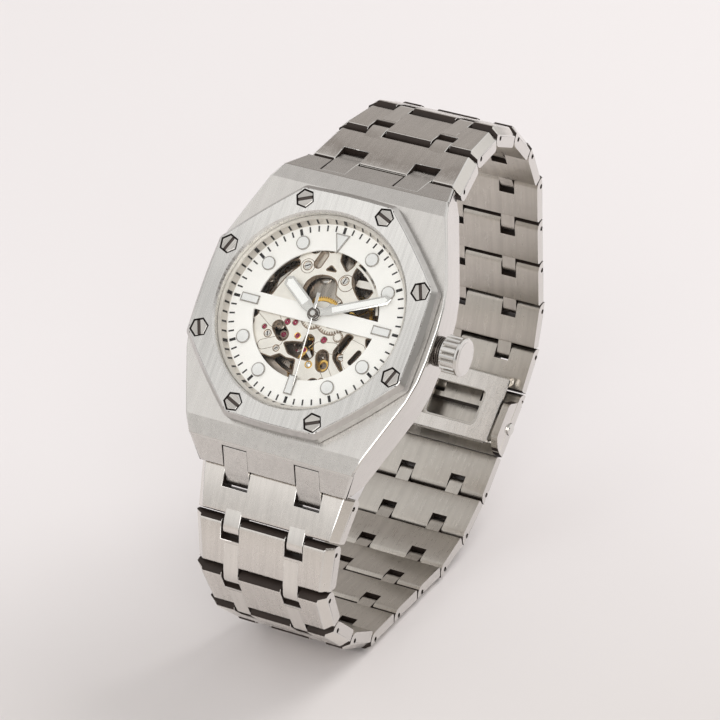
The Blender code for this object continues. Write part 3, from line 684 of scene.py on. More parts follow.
def case_weight(middle, n1, n2):
    """Full bevel on the top flank edges, narrower ones below and on the sloping ends."""
    outside = abs(middle.x) > 12.0
    if math.hypot(middle.x, middle.y) < 16.2:
        return 0.0
    if abs(n1.x) > 0.5 or abs(n2.x) > 0.5:
        if max(n1.z, n2.z) > 0.35 and outside:
            return 1.0
        return 0.25 if outside and middle.z < -6.8 else 0.0
    across = abs(n1.x) < 0.1 and abs(n2.x) < 0.1
    return 0.35 if abs(middle.y) > 22.0 and middle.z > -8.0 and across else 0.0


def case_pick(normal, centre):
    """0 top, 1 flank, 2 recess painted near black as shade, 3 underside in a darker steel as
    painted shade.
    """
    if math.hypot(centre.x, centre.y) < 16.0 and abs(normal.z) < 0.3:
        return 2
    if abs(normal.x) > 0.55:
        return 2 if abs(centre.x) < 12.0 else 1
    if abs(normal.y) > 0.9 and abs(centre.y) < 25.0 and centre.z > -9.5:
        return 2
    return 3 if normal.z < -0.3 else 0


def lug_weight(middle, n1, n2):
    """Keep the edges of the pin bore sharp."""
    return 0.0 if math.hypot(abs(middle.y) - LUG_PIN_Y, middle.z - LUG_PIN_Z) < 0.9 else 1.0


def case_lugs(name, side):
    profile = LUG_TOP + arc(TAB_R, 62, -100, 9, (LUG_PIN_Y, LUG_PIN_Z)) + LUG_UNDER
    profile = [(side * y, z) for y, z in profile]
    lugs = join([side_prism(profile, x0, x1) for x0, x1
                 in both_sides(END_NOTCH[0] + LUG_PLAY, END_NOTCH[1] - LUG_PLAY)])
    cut(lugs, rod_x(BORE_R, -13.5, 13.5, 20, (side * LUG_PIN_Y, LUG_PIN_Z)))
    finish(lugs, name, [CASE_TOP, POLISH], "brushed_steel", bevel=0.16, edge=POLISH,
           clamp=False, pick=lambda n, c: 1 if abs(n.x) > 0.8 else 0, weight=lug_weight)


finish(case_middle(), "case_middle", [CASE_TOP, FLANK, RECESS_SHADE, INNER_SHADE], "brushed_steel", bevel=0.42,
       segs=3, edge=POLISH, weight=case_weight, pick=case_pick, replaces="mid_case",
       smooth=18.0, clamp=False, angle=12.0)
case_lugs("case_lugs_upper", 1)
case_lugs("case_lugs_lower", -1)

# ---------------------------------------------------------------------------- bezel
BEZEL_LEVELS = [(19.12, -2.7), (19.2, -2.55), (19.2, -0.95), (18.55, -0.04), (18.45, 0.0)]
BEZEL_BORE = [(0, -4), (15.55, -4), (15.55, -0.35), (15.95, 0.06), (15.95, 1), (0, 1)]
SIDE_BOW, CORNER_LENGTH = 0.22, 0.9
SIDE_STEPS, CORNER_STEPS = 4, 5
SCREW_CIRCLE = 18.0
SCREW_ANGLES = [22.5 + 45 * k for k in range(8)]
SCREW_CENTRES = [polar(SCREW_CIRCLE, angle) for angle in SCREW_ANGLES]
SCREW_ACROSS, SCREW_HOLE_ACROSS = 2.46, 2.84


def soft_octagon(flat):
    """Octagon with faintly bowed sides and rounded corners; flat is its inner radius."""
    points = []
    reach = flat * math.tan(math.pi / 8) - CORNER_LENGTH
    end = flat - SIDE_BOW
    for k in range(8):
        angle = math.radians(45 * k)
        along = (math.cos(angle), -math.sin(angle))
        out = (math.sin(angle), math.cos(angle))
        for i in range(SIDE_STEPS + 1):
            t = -1 + 2 * i / SIDE_STEPS
            h = flat - SIDE_BOW * t * t
            points.append(tuple(out[j] * h + along[j] * (t * reach) for j in (0, 1)))
        start = points[-1]
        angle = math.radians(45 * (k + 1))
        along, out = (math.cos(angle), -math.sin(angle)), (math.sin(angle), math.cos(angle))
        stop = tuple(out[j] * end - along[j] * reach for j in (0, 1))
        tip = polar((flat - SIDE_BOW * 0.6) / math.cos(math.pi / 8), 45 * k + 22.5)
        for i in range(1, CORNER_STEPS):
            t = i / CORNER_STEPS
            points.append(tuple((1 - t) ** 2 * a + 2 * t * (1 - t) * b + t * t * c
                                for a, b, c in zip(start, tip, stop)))
    return points


def near_screw(point):
    return min((point.xy - Vector(centre)).length for centre in SCREW_CENTRES) < 1.75


def bezel_pick(normal, centre):
    """0 top, 1 bore, 2 side facing 3 o'clock, 3 screw hole, 4 foot, 5 other slopes; 2, 4 and 5 are
    darker steels and 3 is near black, all painted shade.
    """
    if normal.z > 0.93 and centre.z > -0.3:
        return 0
    if math.hypot(centre.x, centre.y) < 16.1:
        return 1
    if near_screw(centre):
        return 3
    if centre.z < -1.0:
        return 4
    return 2 if normal.x > 0.55 and abs(normal.y) < 0.25 else 5


def bezel_weight(middle, n1, n2):
    """Bevel the outer top edge only."""
    if math.hypot(middle.x, middle.y) < 16.1 or near_screw(middle):
        return 0.0
    return 1.0 if middle.z > -0.3 else 0.0


def bezel():
    body = loft([(soft_octagon(flat), z) for flat, z in BEZEL_LEVELS])
    cutters = [turned(BEZEL_BORE, 128)]
    for angle, (x, y) in zip(SCREW_ANGLES, SCREW_CENTRES):
        cutters.append(move(turn(prism(hexagon(SCREW_HOLE_ACROSS), -1.25, 1.0), -angle), (x, y, 0)))
    return cut(body, *cutters)


def screw_pick(normal, centre):
    """0 top, 1 sides, 2 slot, painted dark as shade."""
    floor_face = centre.z < -0.4 and normal.z > 0.9
    if floor_face or (abs(centre.y) < 0.27 and abs(normal.y) > 0.9):
        return 2
    return 0 if normal.z > 0.9 else 1


finish(bezel(), "bezel_ring", [BEZEL_TOP, EDGE, BEZEL_SIDE_SHADE, SCREW_RECESS_SHADE, BEZEL_FOOT_SHADE, BEZEL_SLOPE_SHADE],
       "brushed_steel", bevel=0.12, edge=EDGE, pick=bezel_pick, weight=bezel_weight,
       replaces="bezel", smooth=14.0, angle=22.0, clamp=False)

for i, (angle, (x, y)) in enumerate(zip(SCREW_ANGLES, SCREW_CENTRES), 1):
    side = hexagon(SCREW_ACROSS)
    head = loft([(side, -1.2), (side, -0.13), (hexagon(2.24), -0.02)])
    cut(head, box(-2, 2, -0.235, 0.235, -0.6, 1))
    local = place(x, y, degrees=-angle)
    finish(head, "bezel_screw_head_%d" % i, [SCREW_TOP, POLISH, SCREW_RECESS_SHADE], "polished_steel",
           local=local, bevel=0.035, segs=1, replaces="bezel_screw_%d" % i, pick=screw_pick)
    # dark box filling the slot: painted shade
    finish(box(-1.13, 1.13, -0.2, 0.2, -0.62, -0.09), "bezel_screw_slot_%d" % i, SCREW_RECESS_SHADE,
           "polished_steel", local=local)

# -------------------------------------------------------------- crystal and flange
finish(turned([(0, -1.3), (15.35, -1.3), (15.4, -1.25), (15.4, -0.3), (15.15, -0.05),
               (0, -0.05)], 128), "crystal_glass", GLASS, "crystal_glass", replaces="crystal")
finish(ring(14.95, 15.5, -1.65, -1.35, 96), "crystal_seal", SATIN, "gasket",
       replaces="crystal_gasket")
finish(turned([(14.5, -2.78), (15.5, -2.78), (15.5, -1.6), (15.12, -1.6), (15.08, -1.68),
               (14.52, -2.7)], 160), "flange_ring", SATIN, "flange_satin",
       replaces="rehaut_ring")


def tick(inner, outer, width, degrees, lift):
    """Thin printed mark between two (radius, z) points on a cone or plane."""
    run, rise = outer[0] - inner[0], outer[1] - inner[1]
    length = math.hypot(run, rise)
    normal_r, normal_z = -rise / length, run / length
    angle = math.radians(degrees)
    s, c = math.sin(angle), math.cos(angle)
    verts = []
    for h in (0.0, lift):
        for r, z in (inner, outer):
            for w in (-width / 2, width / 2):
                far = r + normal_r * h
                verts.append((far * s + w * c, far * c - w * s, z + normal_z * h))
    return solid(verts, [[0, 1, 3, 2], [4, 5, 7, 6], [0, 1, 5, 4], [2, 3, 7, 6], [0, 2, 6, 4],
                         [1, 3, 7, 5]])


def minute_tracks():
    """One track on the dial, one on the sloping flange; every fifth tick is bold."""
    dial_ticks, flange_ticks = [], []
    for k in range(60):
        bold = k % 5 == 0
        width = 0.45 if bold else 0.25
        start = 13.38 - (0.12 if bold else 0.0)
        dial_ticks.append(tick((start, DIAL_Z), (14.3, DIAL_Z), width, 6 * k, 0.025))
        flange_ticks.append(tick((14.575, -2.605), (15.02, -1.80), width * 1.25, 6 * k, 0.02))
    finish(join(dial_ticks), "dial_minute_track", INK, "dial_white")
    finish(join(flange_ticks), "flange_minute_track", INK, "dial_white")


minute_tracks()

# ----------------------------------------------------------------------------- dial
OPEN_R, DIAL_R = 10.35, 14.8
BAR_HALF_WIDTH, BAR_OVERLAP = 1.35, 0.8
MARKER_CIRCLE, MARKER_R, MARKER_TOP = 12.0, 1.12, 0.30

dial = turned([(OPEN_R, DIAL_Z - 0.35), (DIAL_R, DIAL_Z - 0.35), (DIAL_R, DIAL_Z),
               (OPEN_R + 0.06, DIAL_Z), (OPEN_R, DIAL_Z - 0.06)], 160)
combine(dial, box(-OPEN_R - BAR_OVERLAP, OPEN_R + BAR_OVERLAP, -BAR_HALF_WIDTH, BAR_HALF_WIDTH,
                  DIAL_Z - 0.33, DIAL_Z - 0.012), 'UNION')
cut(dial, disc(0.95, -5, 0, 48))
finish(dial, "dial_ring", DIAL_FACE, "dial_white", bevel=0.05, replaces="dial")


def framed_marker(name, outline, wall, local):
    """Applied marker: a polished frame with a pale filling."""
    top = DIAL_Z + MARKER_TOP
    inner = inset(outline, wall)
    frame = loft([(outline, DIAL_Z - 0.02), (outline, top - 0.08), (inset(outline, 0.07), top)])
    cut(frame, prism(inner, top - 0.12, DIAL_Z + 2))
    finish(frame, name + "_frame", RIM, "hand_steel", local=local, bevel=0.02, segs=1)
    fill = loft([(inner, top - 0.14), (inner, top - 0.05), (inset(inner, 0.05), top - 0.03)])
    finish(fill, name + "_fill", LUME, "dial_white", local=local)


for hour in range(1, 13):
    name = "marker_%02d" % hour
    if hour in (3, 6, 9):
        framed_marker(name, rectangle(-0.72, 0.72, 9.85, 12.95), 0.2, place(degrees=-30 * hour))
    elif hour == 12:
        framed_marker(name, [(-1.25, 13.15), (0.0, 10.0), (1.25, 13.15)], 0.2,
                      place(degrees=-30 * hour))
    else:
        framed_marker(name, circle(MARKER_R, 40), 0.17, place(*polar(MARKER_CIRCLE, 30 * hour)))

# ------------------------------------------------------------------- movement plate
BARREL, THIRD, ESCAPE = (-1.5, 6.6), (4.1, 1.6), (-2.9, -2.75)
PALLET, BALANCE = (-1.2, -4.6), (1.8, -7.6)
PILLARS = [(8.2, 8.2), (-10.6, 4.4), (10.6, -4.4), (7.9, -8.6)]
PLATE_TOP, PLATE_LOW = -3.45, -4.5
BRIDGE_SLOT = capsule((8.75, -3.95), (7.95, -5.6), 0.85)
OPENINGS = [
    capsule((-2.25, 9.55), (-2.75, 7.95), 1.25),
    rounded([(-1.1, 7.35), (-0.5, 8.15), (0.55, 7.45)], 0.2),
    rounded([(0.6, 10.7), (3.4, 10.3), (3.0, 8.9), (2.25, 7.85), (0.75, 9.25)], 0.3),
    rounded([(4.2, 9.6), (5.6, 8.9), (7.1, 7.8), (7.7, 6.3), (7.1, 4.6), (5.95, 3.95),
             (4.9, 4.9), (3.95, 6.0), (3.5, 7.2), (3.7, 8.6)], 0.5),
    rounded([(1.75, 3.75), (1.45, 5.4), (0.9, 6.15), (-0.2, 6.45), (-1.5, 6.35), (-2.7, 5.85),
             (-3.5, 4.9), (-3.75, 3.8), (-3.3, 2.8), (-2.2, 2.1), (-1.2, 1.5), (3.4, 1.5),
             (3.6, 2.5), (2.9, 3.3)], 0.4),
    rounded([(-11.0, 1.55), (-10.4, 4.0), (-9.2, 6.0), (-7.4, 7.7), (-6.0, 7.9), (-5.6, 7.1),
             (-6.6, 5.9), (-7.5, 4.3), (-8.1, 2.9), (-8.6, 1.5)], 0.35),
    rounded([(3.6, 1.5), (6.5, 3.1), (9.5, 4.5), (10.1, 1.5)], 0.3),
    capsule((-5.6, -3.0), (-4.5, -4.05), 1.85),
    rounded([(-3.8, -5.2), (-2.4, -4.75), (-0.7, -4.5), (-0.6, -3.3), (0.1, -3.0), (0.8, -3.4),
             (1.0, -4.6), (1.65, -6.0), (0.9, -6.95), (-0.9, -6.95), (-2.6, -6.6)], 0.3),
    rounded([(-7.4, -7.75), (-5.2, -7.95), (-3.9, -7.1), (-2.6, -7.5), (-1.15, -7.35),
             (-0.75, -9.9), (-1.9, -11.0), (-5.2, -10.4)], 0.25),
    capsule((3.1, -5.8), (3.55, -7.15), 1.95),
    rounded([(5.9, -1.5), (7.0, -1.7), (5.85, -4.4), (5.95, -5.6), (7.3, -7.5), (6.5, -7.1),
             (4.95, -5.7), (4.65, -4.6)], 0.35),
    BRIDGE_SLOT,
    rounded([(9.1, -1.5), (10.9, -1.5), (10.6, -3.1), (9.5, -2.6)], 0.25),
]
# round holes near the rim: x, y, radius
RIM_BITES = [(-4.0, 10.2, 0.75), (-6.95, 8.45, 0.75), (-1.3, 10.8, 0.6), (-10.6, -1.6, 0.95),
             (-10.5, -3.3, 0.6), (-8.4, -7.2, 0.65), (3.1, -10.4, 0.95), (-3.6, -10.7, 0.5),
             (9.8, 5.4, 0.6)]
# raised lines on the plate: outline, width, height
ENGRAVING = [
    (capsule((-9.2, -0.6), (-6.6, -2.2), 2.1), 0.08, 0.008),
    (circle(1.25, 36, (2.82, 6.05)), 0.12, 0.009),
    (circle(1.1, 36, (-4.3, 7.25)), 0.10, 0.007),
    (capsule((2.0, -4.6), (4.4, -4.2), 1.7), 0.08, 0.006),
    (capsule((-7.2, -6.3), (-4.9, -5.2), 1.5), 0.08, 0.0065),
    (capsule((4.3, -7.9), (5.3, -9.1), 1.3), 0.08, 0.0055),
]


def top_or_wall(normal, centre):
    return 0 if normal.z > 0.9 else 1


plate = disc(13.1, PLATE_LOW, PLATE_TOP, 96)
for outline in OPENINGS:
    cut(plate, prism(outline, -6, -2))
for x, y, r in RIM_BITES + [(0.0, 0.0, 0.9)]:
    cut(plate, disc(r, -6, -2, 20, (x, y)))
# walls of the openings in dark brown: painted shade
works(plate, "movement_plate", [RHOD, WALL_SHADE], replaces="main_plate", pick=top_or_wall)
# dark frames round the openings and rim holes: painted shade
works(join([border(outline, 0.17, PLATE_TOP - 0.04, PLATE_TOP + 0.012) for outline in OPENINGS]),
      "opening_shade_frames", OPENING_EDGE_SHADE)
works(join([border(circle(r, 24, (x, y)), 0.15, PLATE_TOP - 0.04, PLATE_TOP + 0.010)
            for x, y, r in RIM_BITES]), "rim_hole_shade_frames", OPENING_EDGE_SHADE)
works(join([border(outline, width, PLATE_TOP, PLATE_TOP + height)
            for outline, width, height in ENGRAVING]), "plate_engraving", ANGLAGE)
works(turned([(1.25, -4.72), (2.75, -4.72), (2.75, -4.62), (2.65, -4.58), (1.25, -4.58)], 64),
      "center_cover", RHOD)
works(turned([(0, -4.6), (0.75, -4.6), (0.75, -4.4), (0.6, -4.35), (0, -4.35)], 32),
      "center_cover_stud", POLISH, local=place(1.4, 1.9))
# curved raised land on the plate between 1 and 3 o'clock
land = [polar(9.95, 20 + 4 * k) for k in range(15)] + [polar(9.55, 76 - 4 * k) for k in range(15)]
works(prism(land, PLATE_TOP - 0.1, PLATE_TOP + 0.08), "plate_land_ring", RHOD, bevel=0.03,
      segs=1)

# x, y, radius, material of the setting
JEWELS = [(-4.4, -1.95, 0.44, ANGLAGE), (-3.1, -1.75, 0.40, ANGLAGE), (-2.0, -3.65, 0.40, GOLD),
          (2.45, -3.3, 0.46, ANGLAGE), (-7.85, -3.55, 0.33, ANGLAGE), (-0.1, -5.5, 0.36, GOLD)]
for i, (x, y, r, setting) in enumerate(JEWELS, 1):
    local = place(x, y, PLATE_TOP)
    works(turned([(0, -0.12), (r, -0.12), (r, 0.02), (r * 0.82, 0.05), (r * 0.22, 0.05),
                  (r * 0.18, 0.0), (0, 0.0)], 32), "jewel_%02d" % i, RUBY, local=local)
    finish(turned([(r, -0.12), (r + 0.13, -0.12), (r + 0.13, 0.03), (r + 0.06, 0.06),
                   (r, 0.03)], 32), "jewel_setting_%02d" % i, setting, "gilt_wheel",
           local=local)

# x, y, radius, angle of the slot in degrees
PLATE_SCREWS = [(-4.35, 7.3, 0.55, 30), (2.5, 6.35, 0.5, 75), (6.05, -5.3, 0.42, 20),
                (-6.95, -4.45, 0.42, 110), (8.6, -7.2, 0.5, 60), (-4.75, -6.35, 0.34, 40),
                (4.3, -9.6, 0.36, 130)]
for i, (x, y, r, degrees) in enumerate(PLATE_SCREWS, 1):
    # dark ring in the countersink: painted shade
    works(turned([(r + 0.02, -0.1), (r + 0.24, -0.1), (r + 0.24, 0.015), (r + 0.16, 0.03),
                  (r + 0.02, -0.03)], 32), "screw_sink_%02d" % i, SINK_SHADE,
          local=place(x, y, PLATE_TOP))
    local = place(x, y, PLATE_TOP, degrees)
    head = turned([(0, -0.2), (r, -0.2), (r, 0.02), (r - 0.08, 0.1), (0, 0.1)], 32)
    cut(head, box(-1.5, 1.5, -0.09, 0.09, 0.0, 0.5))
    # dark box filling the slot: painted shade
    finish(box(-r * 0.95, r * 0.95, -0.085, 0.085, -0.02, 0.05), "plate_screw_slot_%02d" % i,
           SCREW_RECESS_SHADE, "polished_steel", local=local)
    finish(head, "plate_screw_%02d" % i, POLISH, "polished_steel", local=local)

# --------------------------------------------------------------------------- wheels
SPOKE_HALF_WIDTH = 0.16


def spoke_gap(index, spokes, rim, hub):
    """Outline of the opening between two spokes."""
    middle, half = 2 * math.pi * index / spokes, math.pi / spokes
    trim_rim, trim_hub = math.asin(SPOKE_HALF_WIDTH / rim), math.asin(SPOKE_HALF_WIDTH / hub)
    points = []
    for i in range(9):
        a = middle - half + trim_rim + (2 * half - 2 * trim_rim) * i / 8
        points.append((rim * math.cos(a), rim * math.sin(a)))
    for i in range(5):
        a = middle + half - trim_hub - (2 * half - 2 * trim_hub) * i / 4
        points.append((hub * math.cos(a), hub * math.sin(a)))
    return points


def wheel(name, body, material, centre, replaces, teeth, r, depth, z, arbor, spokes=0, hub=0.0,
          rim=None):
    """Toothed wheel between two z heights, and its arbor as a (radius, z) profile."""
    part = prism(gear(teeth, r, depth), *z)
    rim = rim or r - depth - 0.45
    gaps = [prism(spoke_gap(k, spokes, rim, hub), z[0] - 1, z[1] + 1) for k in range(spokes)]
    if gaps:
        cut(part, *gaps)
    local = place(*centre)
    finish(part, name, material, "gilt_wheel", body=body, local=local, bevel=0.03, segs=1,
           replaces=replaces)
    finish(turned(arbor, 24), name + "_arbor", POLISH, "polished_steel", body=body, local=local)


wheel("center_wheel_gilt", "center_arbor", GOLD, (0, 0), "center_wheel",
      teeth=64, r=3.6, depth=0.28, z=(-5.0, -4.75), spokes=5, hub=1.15,
      arbor=[(0.45, -6.2), (0.85, -6.2), (0.85, -5.1), (1.1, -5.05), (1.1, -4.7), (0.75, -4.6),
             (0.45, -4.6)])
wheel("third_wheel_gilt", "third_arbor", GOLD, THIRD, "third_wheel",
      teeth=60, r=3.7, depth=0.26, z=(-6.6, -6.4), spokes=5, hub=0.95,
      arbor=[(0, -7.85), (0.2, -7.85), (0.35, -7.0), (0.35, -6.65), (0.75, -6.62),
             (0.75, -6.3), (0.5, -6.2), (0.5, -4.75), (0, -4.72)])
wheel("fourth_wheel_gilt", "fourth_arbor", GOLD, (0, 0), "fourth_wheel",
      teeth=60, r=3.4, depth=0.26, z=(-7.05, -6.85), spokes=4, hub=0.9,
      arbor=[(0, -7.85), (0.2, -7.85), (0.33, -7.2), (0.33, -7.1), (0.7, -7.08), (0.7, -6.8),
             (0.5, -6.75), (0.5, -6.3), (0.3, -6.25), (0.3, -2.2), (0, -2.1)])
wheel("escape_wheel_steel", "escape_arbor", ANGLAGE, ESCAPE, "escape_wheel",
      teeth=15, r=2.15, depth=0.55, z=(-5.95, -5.78), spokes=4, hub=0.5, rim=1.3,
      arbor=[(0, -7.85), (0.15, -7.85), (0.3, -7.1), (0.42, -7.05), (0.42, -6.0), (0.3, -5.7),
             (0, -5.6)])
works(turned([(0, -6.2), (4.7, -6.2), (4.95, -6.05), (4.95, -5.35), (4.85, -5.2), (4.6, -5.12),
              (1.2, -5.12), (1.1, -5.2), (0, -5.2)], 96), "barrel_drum", DRUM, body="barrel",
      local=place(*BARREL))
wheel("barrel_teeth", "barrel", ANGLAGE, BARREL, "mainspring_barrel",
      teeth=78, r=5.6, depth=0.3, z=(-5.75, -5.45),
      arbor=[(0, -7.85), (0.4, -7.85), (0.4, -5.3), (0.9, -5.2), (0.9, -5.0), (0, -4.95)])

# -------------------------------------------------------- parts on and in the plate
RATCHET, INTERMEDIATE, CLICK = (2.6, 0.45), (-0.6, -0.35), (4.55, -2.35)
# thin dark discs under the toothed rings, so the gaps between teeth look dark: painted shade
for name, r, height, centre in (("ratchet_shade_disc", 2.95, 0.014, RATCHET),
                                ("intermediate_shade_disc", 1.95, 0.012, INTERMEDIATE)):
    patch = disc(r, PLATE_TOP + 0.004, PLATE_TOP + height, 48, centre)
    cut(patch, box(-6, 8, 1.2, 6, -5, 0))
    cut(patch, disc(0.95, -6, -2, 32))
    works(patch, name, WALL_SHADE)

# toothed rings just under the dial's crossbar
teeth = prism(gear(38, 2.72, 0.42), PLATE_TOP + 0.02, PLATE_TOP + 0.22)
cut(teeth, disc(1.85, -5, -2, 40))
cut(teeth, box(-6, 6, 0.8, 6, -5, 0))
works(teeth, "ratchet_ring", RHOD, local=place(*RATCHET))
teeth = prism(gear(26, 1.75, 0.34), PLATE_TOP + 0.02, PLATE_TOP + 0.2)
cut(teeth, disc(1.1, -5, -2, 32))
cut(teeth, box(-6, 6, 1.55, 6, -5, 0))
cut(teeth, disc(0.95, -6, -1.5, 32, (0.6, 0.35)))
works(teeth, "intermediate_ring", RHOD, local=place(*INTERMEDIATE))

works(prism(gear(14, 0.72, 0.2), PLATE_TOP + 0.01, PLATE_TOP + 0.2), "click_pinion", RHOD,
      local=place(*CLICK), bevel=0.02, segs=1)
# thin dark disc under the click pinion: painted shade
works(disc(0.85, PLATE_TOP + 0.004, PLATE_TOP + 0.012, 32, CLICK), "click_pinion_shade_disc", WALL_SHADE)
works(prism(gear(26, 1.75, 0.3), -4.9, -4.6), "winding_pinion", RHOD, local=place(-3.1, 8.85),
      bevel=0.02, segs=1)
finish(ring(0.55, 0.95, -4.8, -4.52, 40), "cap_ring_oval", GOLD, "gilt_wheel",
       local=place(3.25, -6.95), bevel=0.04, segs=1)
# dark bar under the oval slot: painted shade
works(join([prism(capsule((2.35, -4.6), (3.75, -8.2), 0.7), -5.15, -4.85),
            disc(0.28, -5.0, PLATE_LOW + 0.05, 16, (2.4, -4.75)),
            disc(0.28, -5.0, PLATE_LOW + 0.05, 16, (3.7, -8.05))]), "oval_bridge", DEEP_SHADE)
finish(turned([(0, -5.1), (0.26, -5.1), (0.26, -4.6), (0.15, -4.5), (0, -4.48)], 24),
       "oval_pin", POLISH, "polished_steel", local=place(2.75, -5.75))
CAP_DOME = [(0, -0.05), (0.42, -0.05), (0.4, 0.12), (0.22, 0.24), (0, 0.27)]
finish(turned([(r, PLATE_TOP + z) for r, z in CAP_DOME], 32), "cap_dome", POLISH,
       "polished_steel", local=place(1.35, -7.55))
finish(ring(0.43, 0.62, PLATE_TOP - 0.05, PLATE_TOP + 0.06, 32), "cap_dome_ring", GOLD,
       "gilt_wheel", local=place(1.35, -7.55))
works(turned([(0, -5.2), (0.85, -5.2), (0.85, -4.75), (0.7, -4.65), (0, -4.65)], 40),
      "small_barrel", DRUM, local=place(-6.05, -2.35), bevel=0.04, segs=1, edge=ANGLAGE)
works(turned([(0, -5.3), (0.42, -5.3), (0.42, -4.85), (0.3, -4.8), (0, -4.8)], 32),
      "deep_jewel", RUBY, local=place(-5.0, -3.75))
works(ring(0.43, 0.66, -5.3, -4.9, 32), "deep_jewel_ring", ANGLAGE, local=place(-5.0, -3.75))

# flat levers: name, outline, corner radius, low and high z, bevel, bevel material
LEVERS = [
    ("lever_10", [(-8.9, 4.6), (-7.2, 6.6), (-6.3, 6.3), (-7.0, 4.9), (-7.9, 2.6), (-8.9, 2.2)],
     0.35, -5.3, -4.75, 0.1, POLISH),
    ("lever_7", [(-6.9, -8.6), (-5.0, -8.35), (-4.2, -9.3), (-5.0, -10.3), (-6.4, -9.6)],
     0.3, -6.2, -5.6, 0.1, POLISH),
    ("clip_1", [(4.4, 8.1), (6.0, 7.8), (5.9, 8.9), (4.6, 9.3)],
     0.2, -5.4, -4.8, 0.08, POLISH),
    ("plate_arm", [(3.9, 6.2), (4.8, 6.1), (8.2, 6.3), (8.4, 7.3), (5.2, 7.4), (4.0, 7.3)],
     0.3, -4.95, -4.55, 0.06, ANGLAGE),
]
for name, outline, corner, low, high, bevel, edge in LEVERS:
    works(prism(rounded(outline, corner), low, high), name, RHOD, bevel=bevel, edge=edge)

setting_bridge = prism(rounded([(6.9, -2.1), (9.3, -2.6), (9.9, -3.6), (7.9, -7.2),
                                (6.9, -6.5), (6.25, -4.5)], 0.4),
                       PLATE_TOP - 0.02, PLATE_TOP + 0.14)
cut(setting_bridge, prism(BRIDGE_SLOT, -6, -2))
# walls of the setting bridge in dark brown: painted shade
works(setting_bridge, "setting_bridge", [RHOD, WALL_SHADE], bevel=0.06, edge=ANGLAGE,
      pick=top_or_wall)

# ------------------------------------------------- floor of the movement, and balance
bridge = disc(12.9, -8.0, -7.3, 96)
for centre, r in (((0, 0), 0.4), (THIRD, 0.35), (ESCAPE, 0.35), (BARREL, 0.6), (BALANCE, 0.4)):
    cut(bridge, disc(r, -9, -6, 16, centre))
# deep floor plate in dark brown: painted shade
works(bridge, "train_bridge_plate", [DEEP_SHADE, SHADE], bevel=0.08, edge=ANGLAGE,
      replaces="train_bridge", pick=lambda n, c: 1 if n.z < -0.9 else 0)

# curved steps on the floor: inner and outer radius, start and end angle, top z, materials
FLOOR_STEPS = [
    (10.9, 12.6, 118, 176, -5.2, DRUM, ANGLAGE), (9.3, 10.4, 128, 170, -5.9, SHADE, GOLD),
    (8.0, 8.8, 205, 262, -5.6, DRUM, ANGLAGE), (9.4, 10.6, 216, 258, -5.0, SHADE, GOLD),
    (9.6, 11.2, 20, 62, -5.3, DRUM, ANGLAGE), (11.4, 12.6, 64, 100, -5.0, SHADE, ANGLAGE),
    (7.2, 8.2, 28, 58, -6.4, DRUM, ANGLAGE),
]
# room kept for the wheels: centre, radius, lowest z
CLEARANCES = [(BARREL, 5.75, -6.35), (THIRD, 3.85, -6.75), (BALANCE, 4.45, -6.95)]
for i, (r0, r1, start, end, top, material, edge) in enumerate(FLOOR_STEPS, 1):
    step = prism(sector(r0, r1, start, end, 20), -7.35, top)
    for centre, r, low in CLEARANCES:
        cut(step, disc(r, low, -4.0, 64, centre))
    works(step, "floor_step_%d" % i, material, bevel=0.1, edge=edge)

PILLAR = [(0, -7.3), (0.9, -7.3), (0.9, -7.0), (0.7, -6.9), (0.7, -5.0), (0.9, -4.9),
          (0.9, -4.55), (0, -4.55)]
for i, centre in enumerate(PILLARS, 1):
    works(turned(PILLAR, 24), "pillar_%d" % i, POLISH, local=place(*centre))
works(prism(rounded([(0.6, -7.1), (2.3, -6.3), (9.6, -7.4), (9.2, -9.0), (7.6, -10.2),
                     (1.4, -9.0)], 0.5), -8.12, -7.1), "balance_cock_plate", SHADE,
      bevel=0.08, edge=ANGLAGE, replaces="balance_cock")

balance = ring(3.65, 4.2, -6.8, -6.3, 72)
combine(balance, box(-3.8, 3.8, -0.25, 0.25, -6.65, -6.45), 'UNION')
finish(balance, "balance_rim", GOLD, "gilt_wheel", body="balance", local=place(*BALANCE),
       bevel=0.04, replaces="balance_wheel")
RIM_SCREW = [(0, 0), (0.17, 0), (0.2, 0.05), (0.2, 0.22), (0, 0.22)]
finish(join([turn(move(turn(turned(RIM_SCREW, 12), 90, 'Y'), (4.1, 0, -6.55)), 30 * k)
             for k in range(12)]), "balance_screws", POLISH, "gilt_wheel", body="balance",
       local=place(*BALANCE))
finish(turned([(0, -7.8), (0.12, -7.8), (0.22, -7.0), (0.7, -6.7), (0.7, -6.35),
               (0.22, -6.25), (0.2, -5.0), (0, -4.9)], 20), "balance_staff", POLISH,
       "polished_steel", body="balance", local=place(*BALANCE))


def hairspring():
    """Flat spiral of rectangular wire."""
    turns, inner_r, growth = 9, 0.75, 1.9
    steps = turns * 28
    wire = [(-0.025, -6.05), (0.025, -6.05), (0.025, -5.93), (-0.025, -5.93)]  # (radius, z)
    rings = []
    for k in range(steps + 1):
        r, a = inner_r + growth * k / steps, 2 * math.pi * turns * k / steps
        rings.append([((r + dr) * math.cos(a), (r + dr) * math.sin(a), z) for dr, z in wire])
    return skin(rings)


works(hairspring(), "hairspring", COLLAR, body="balance", local=place(*BALANCE, -0.08))

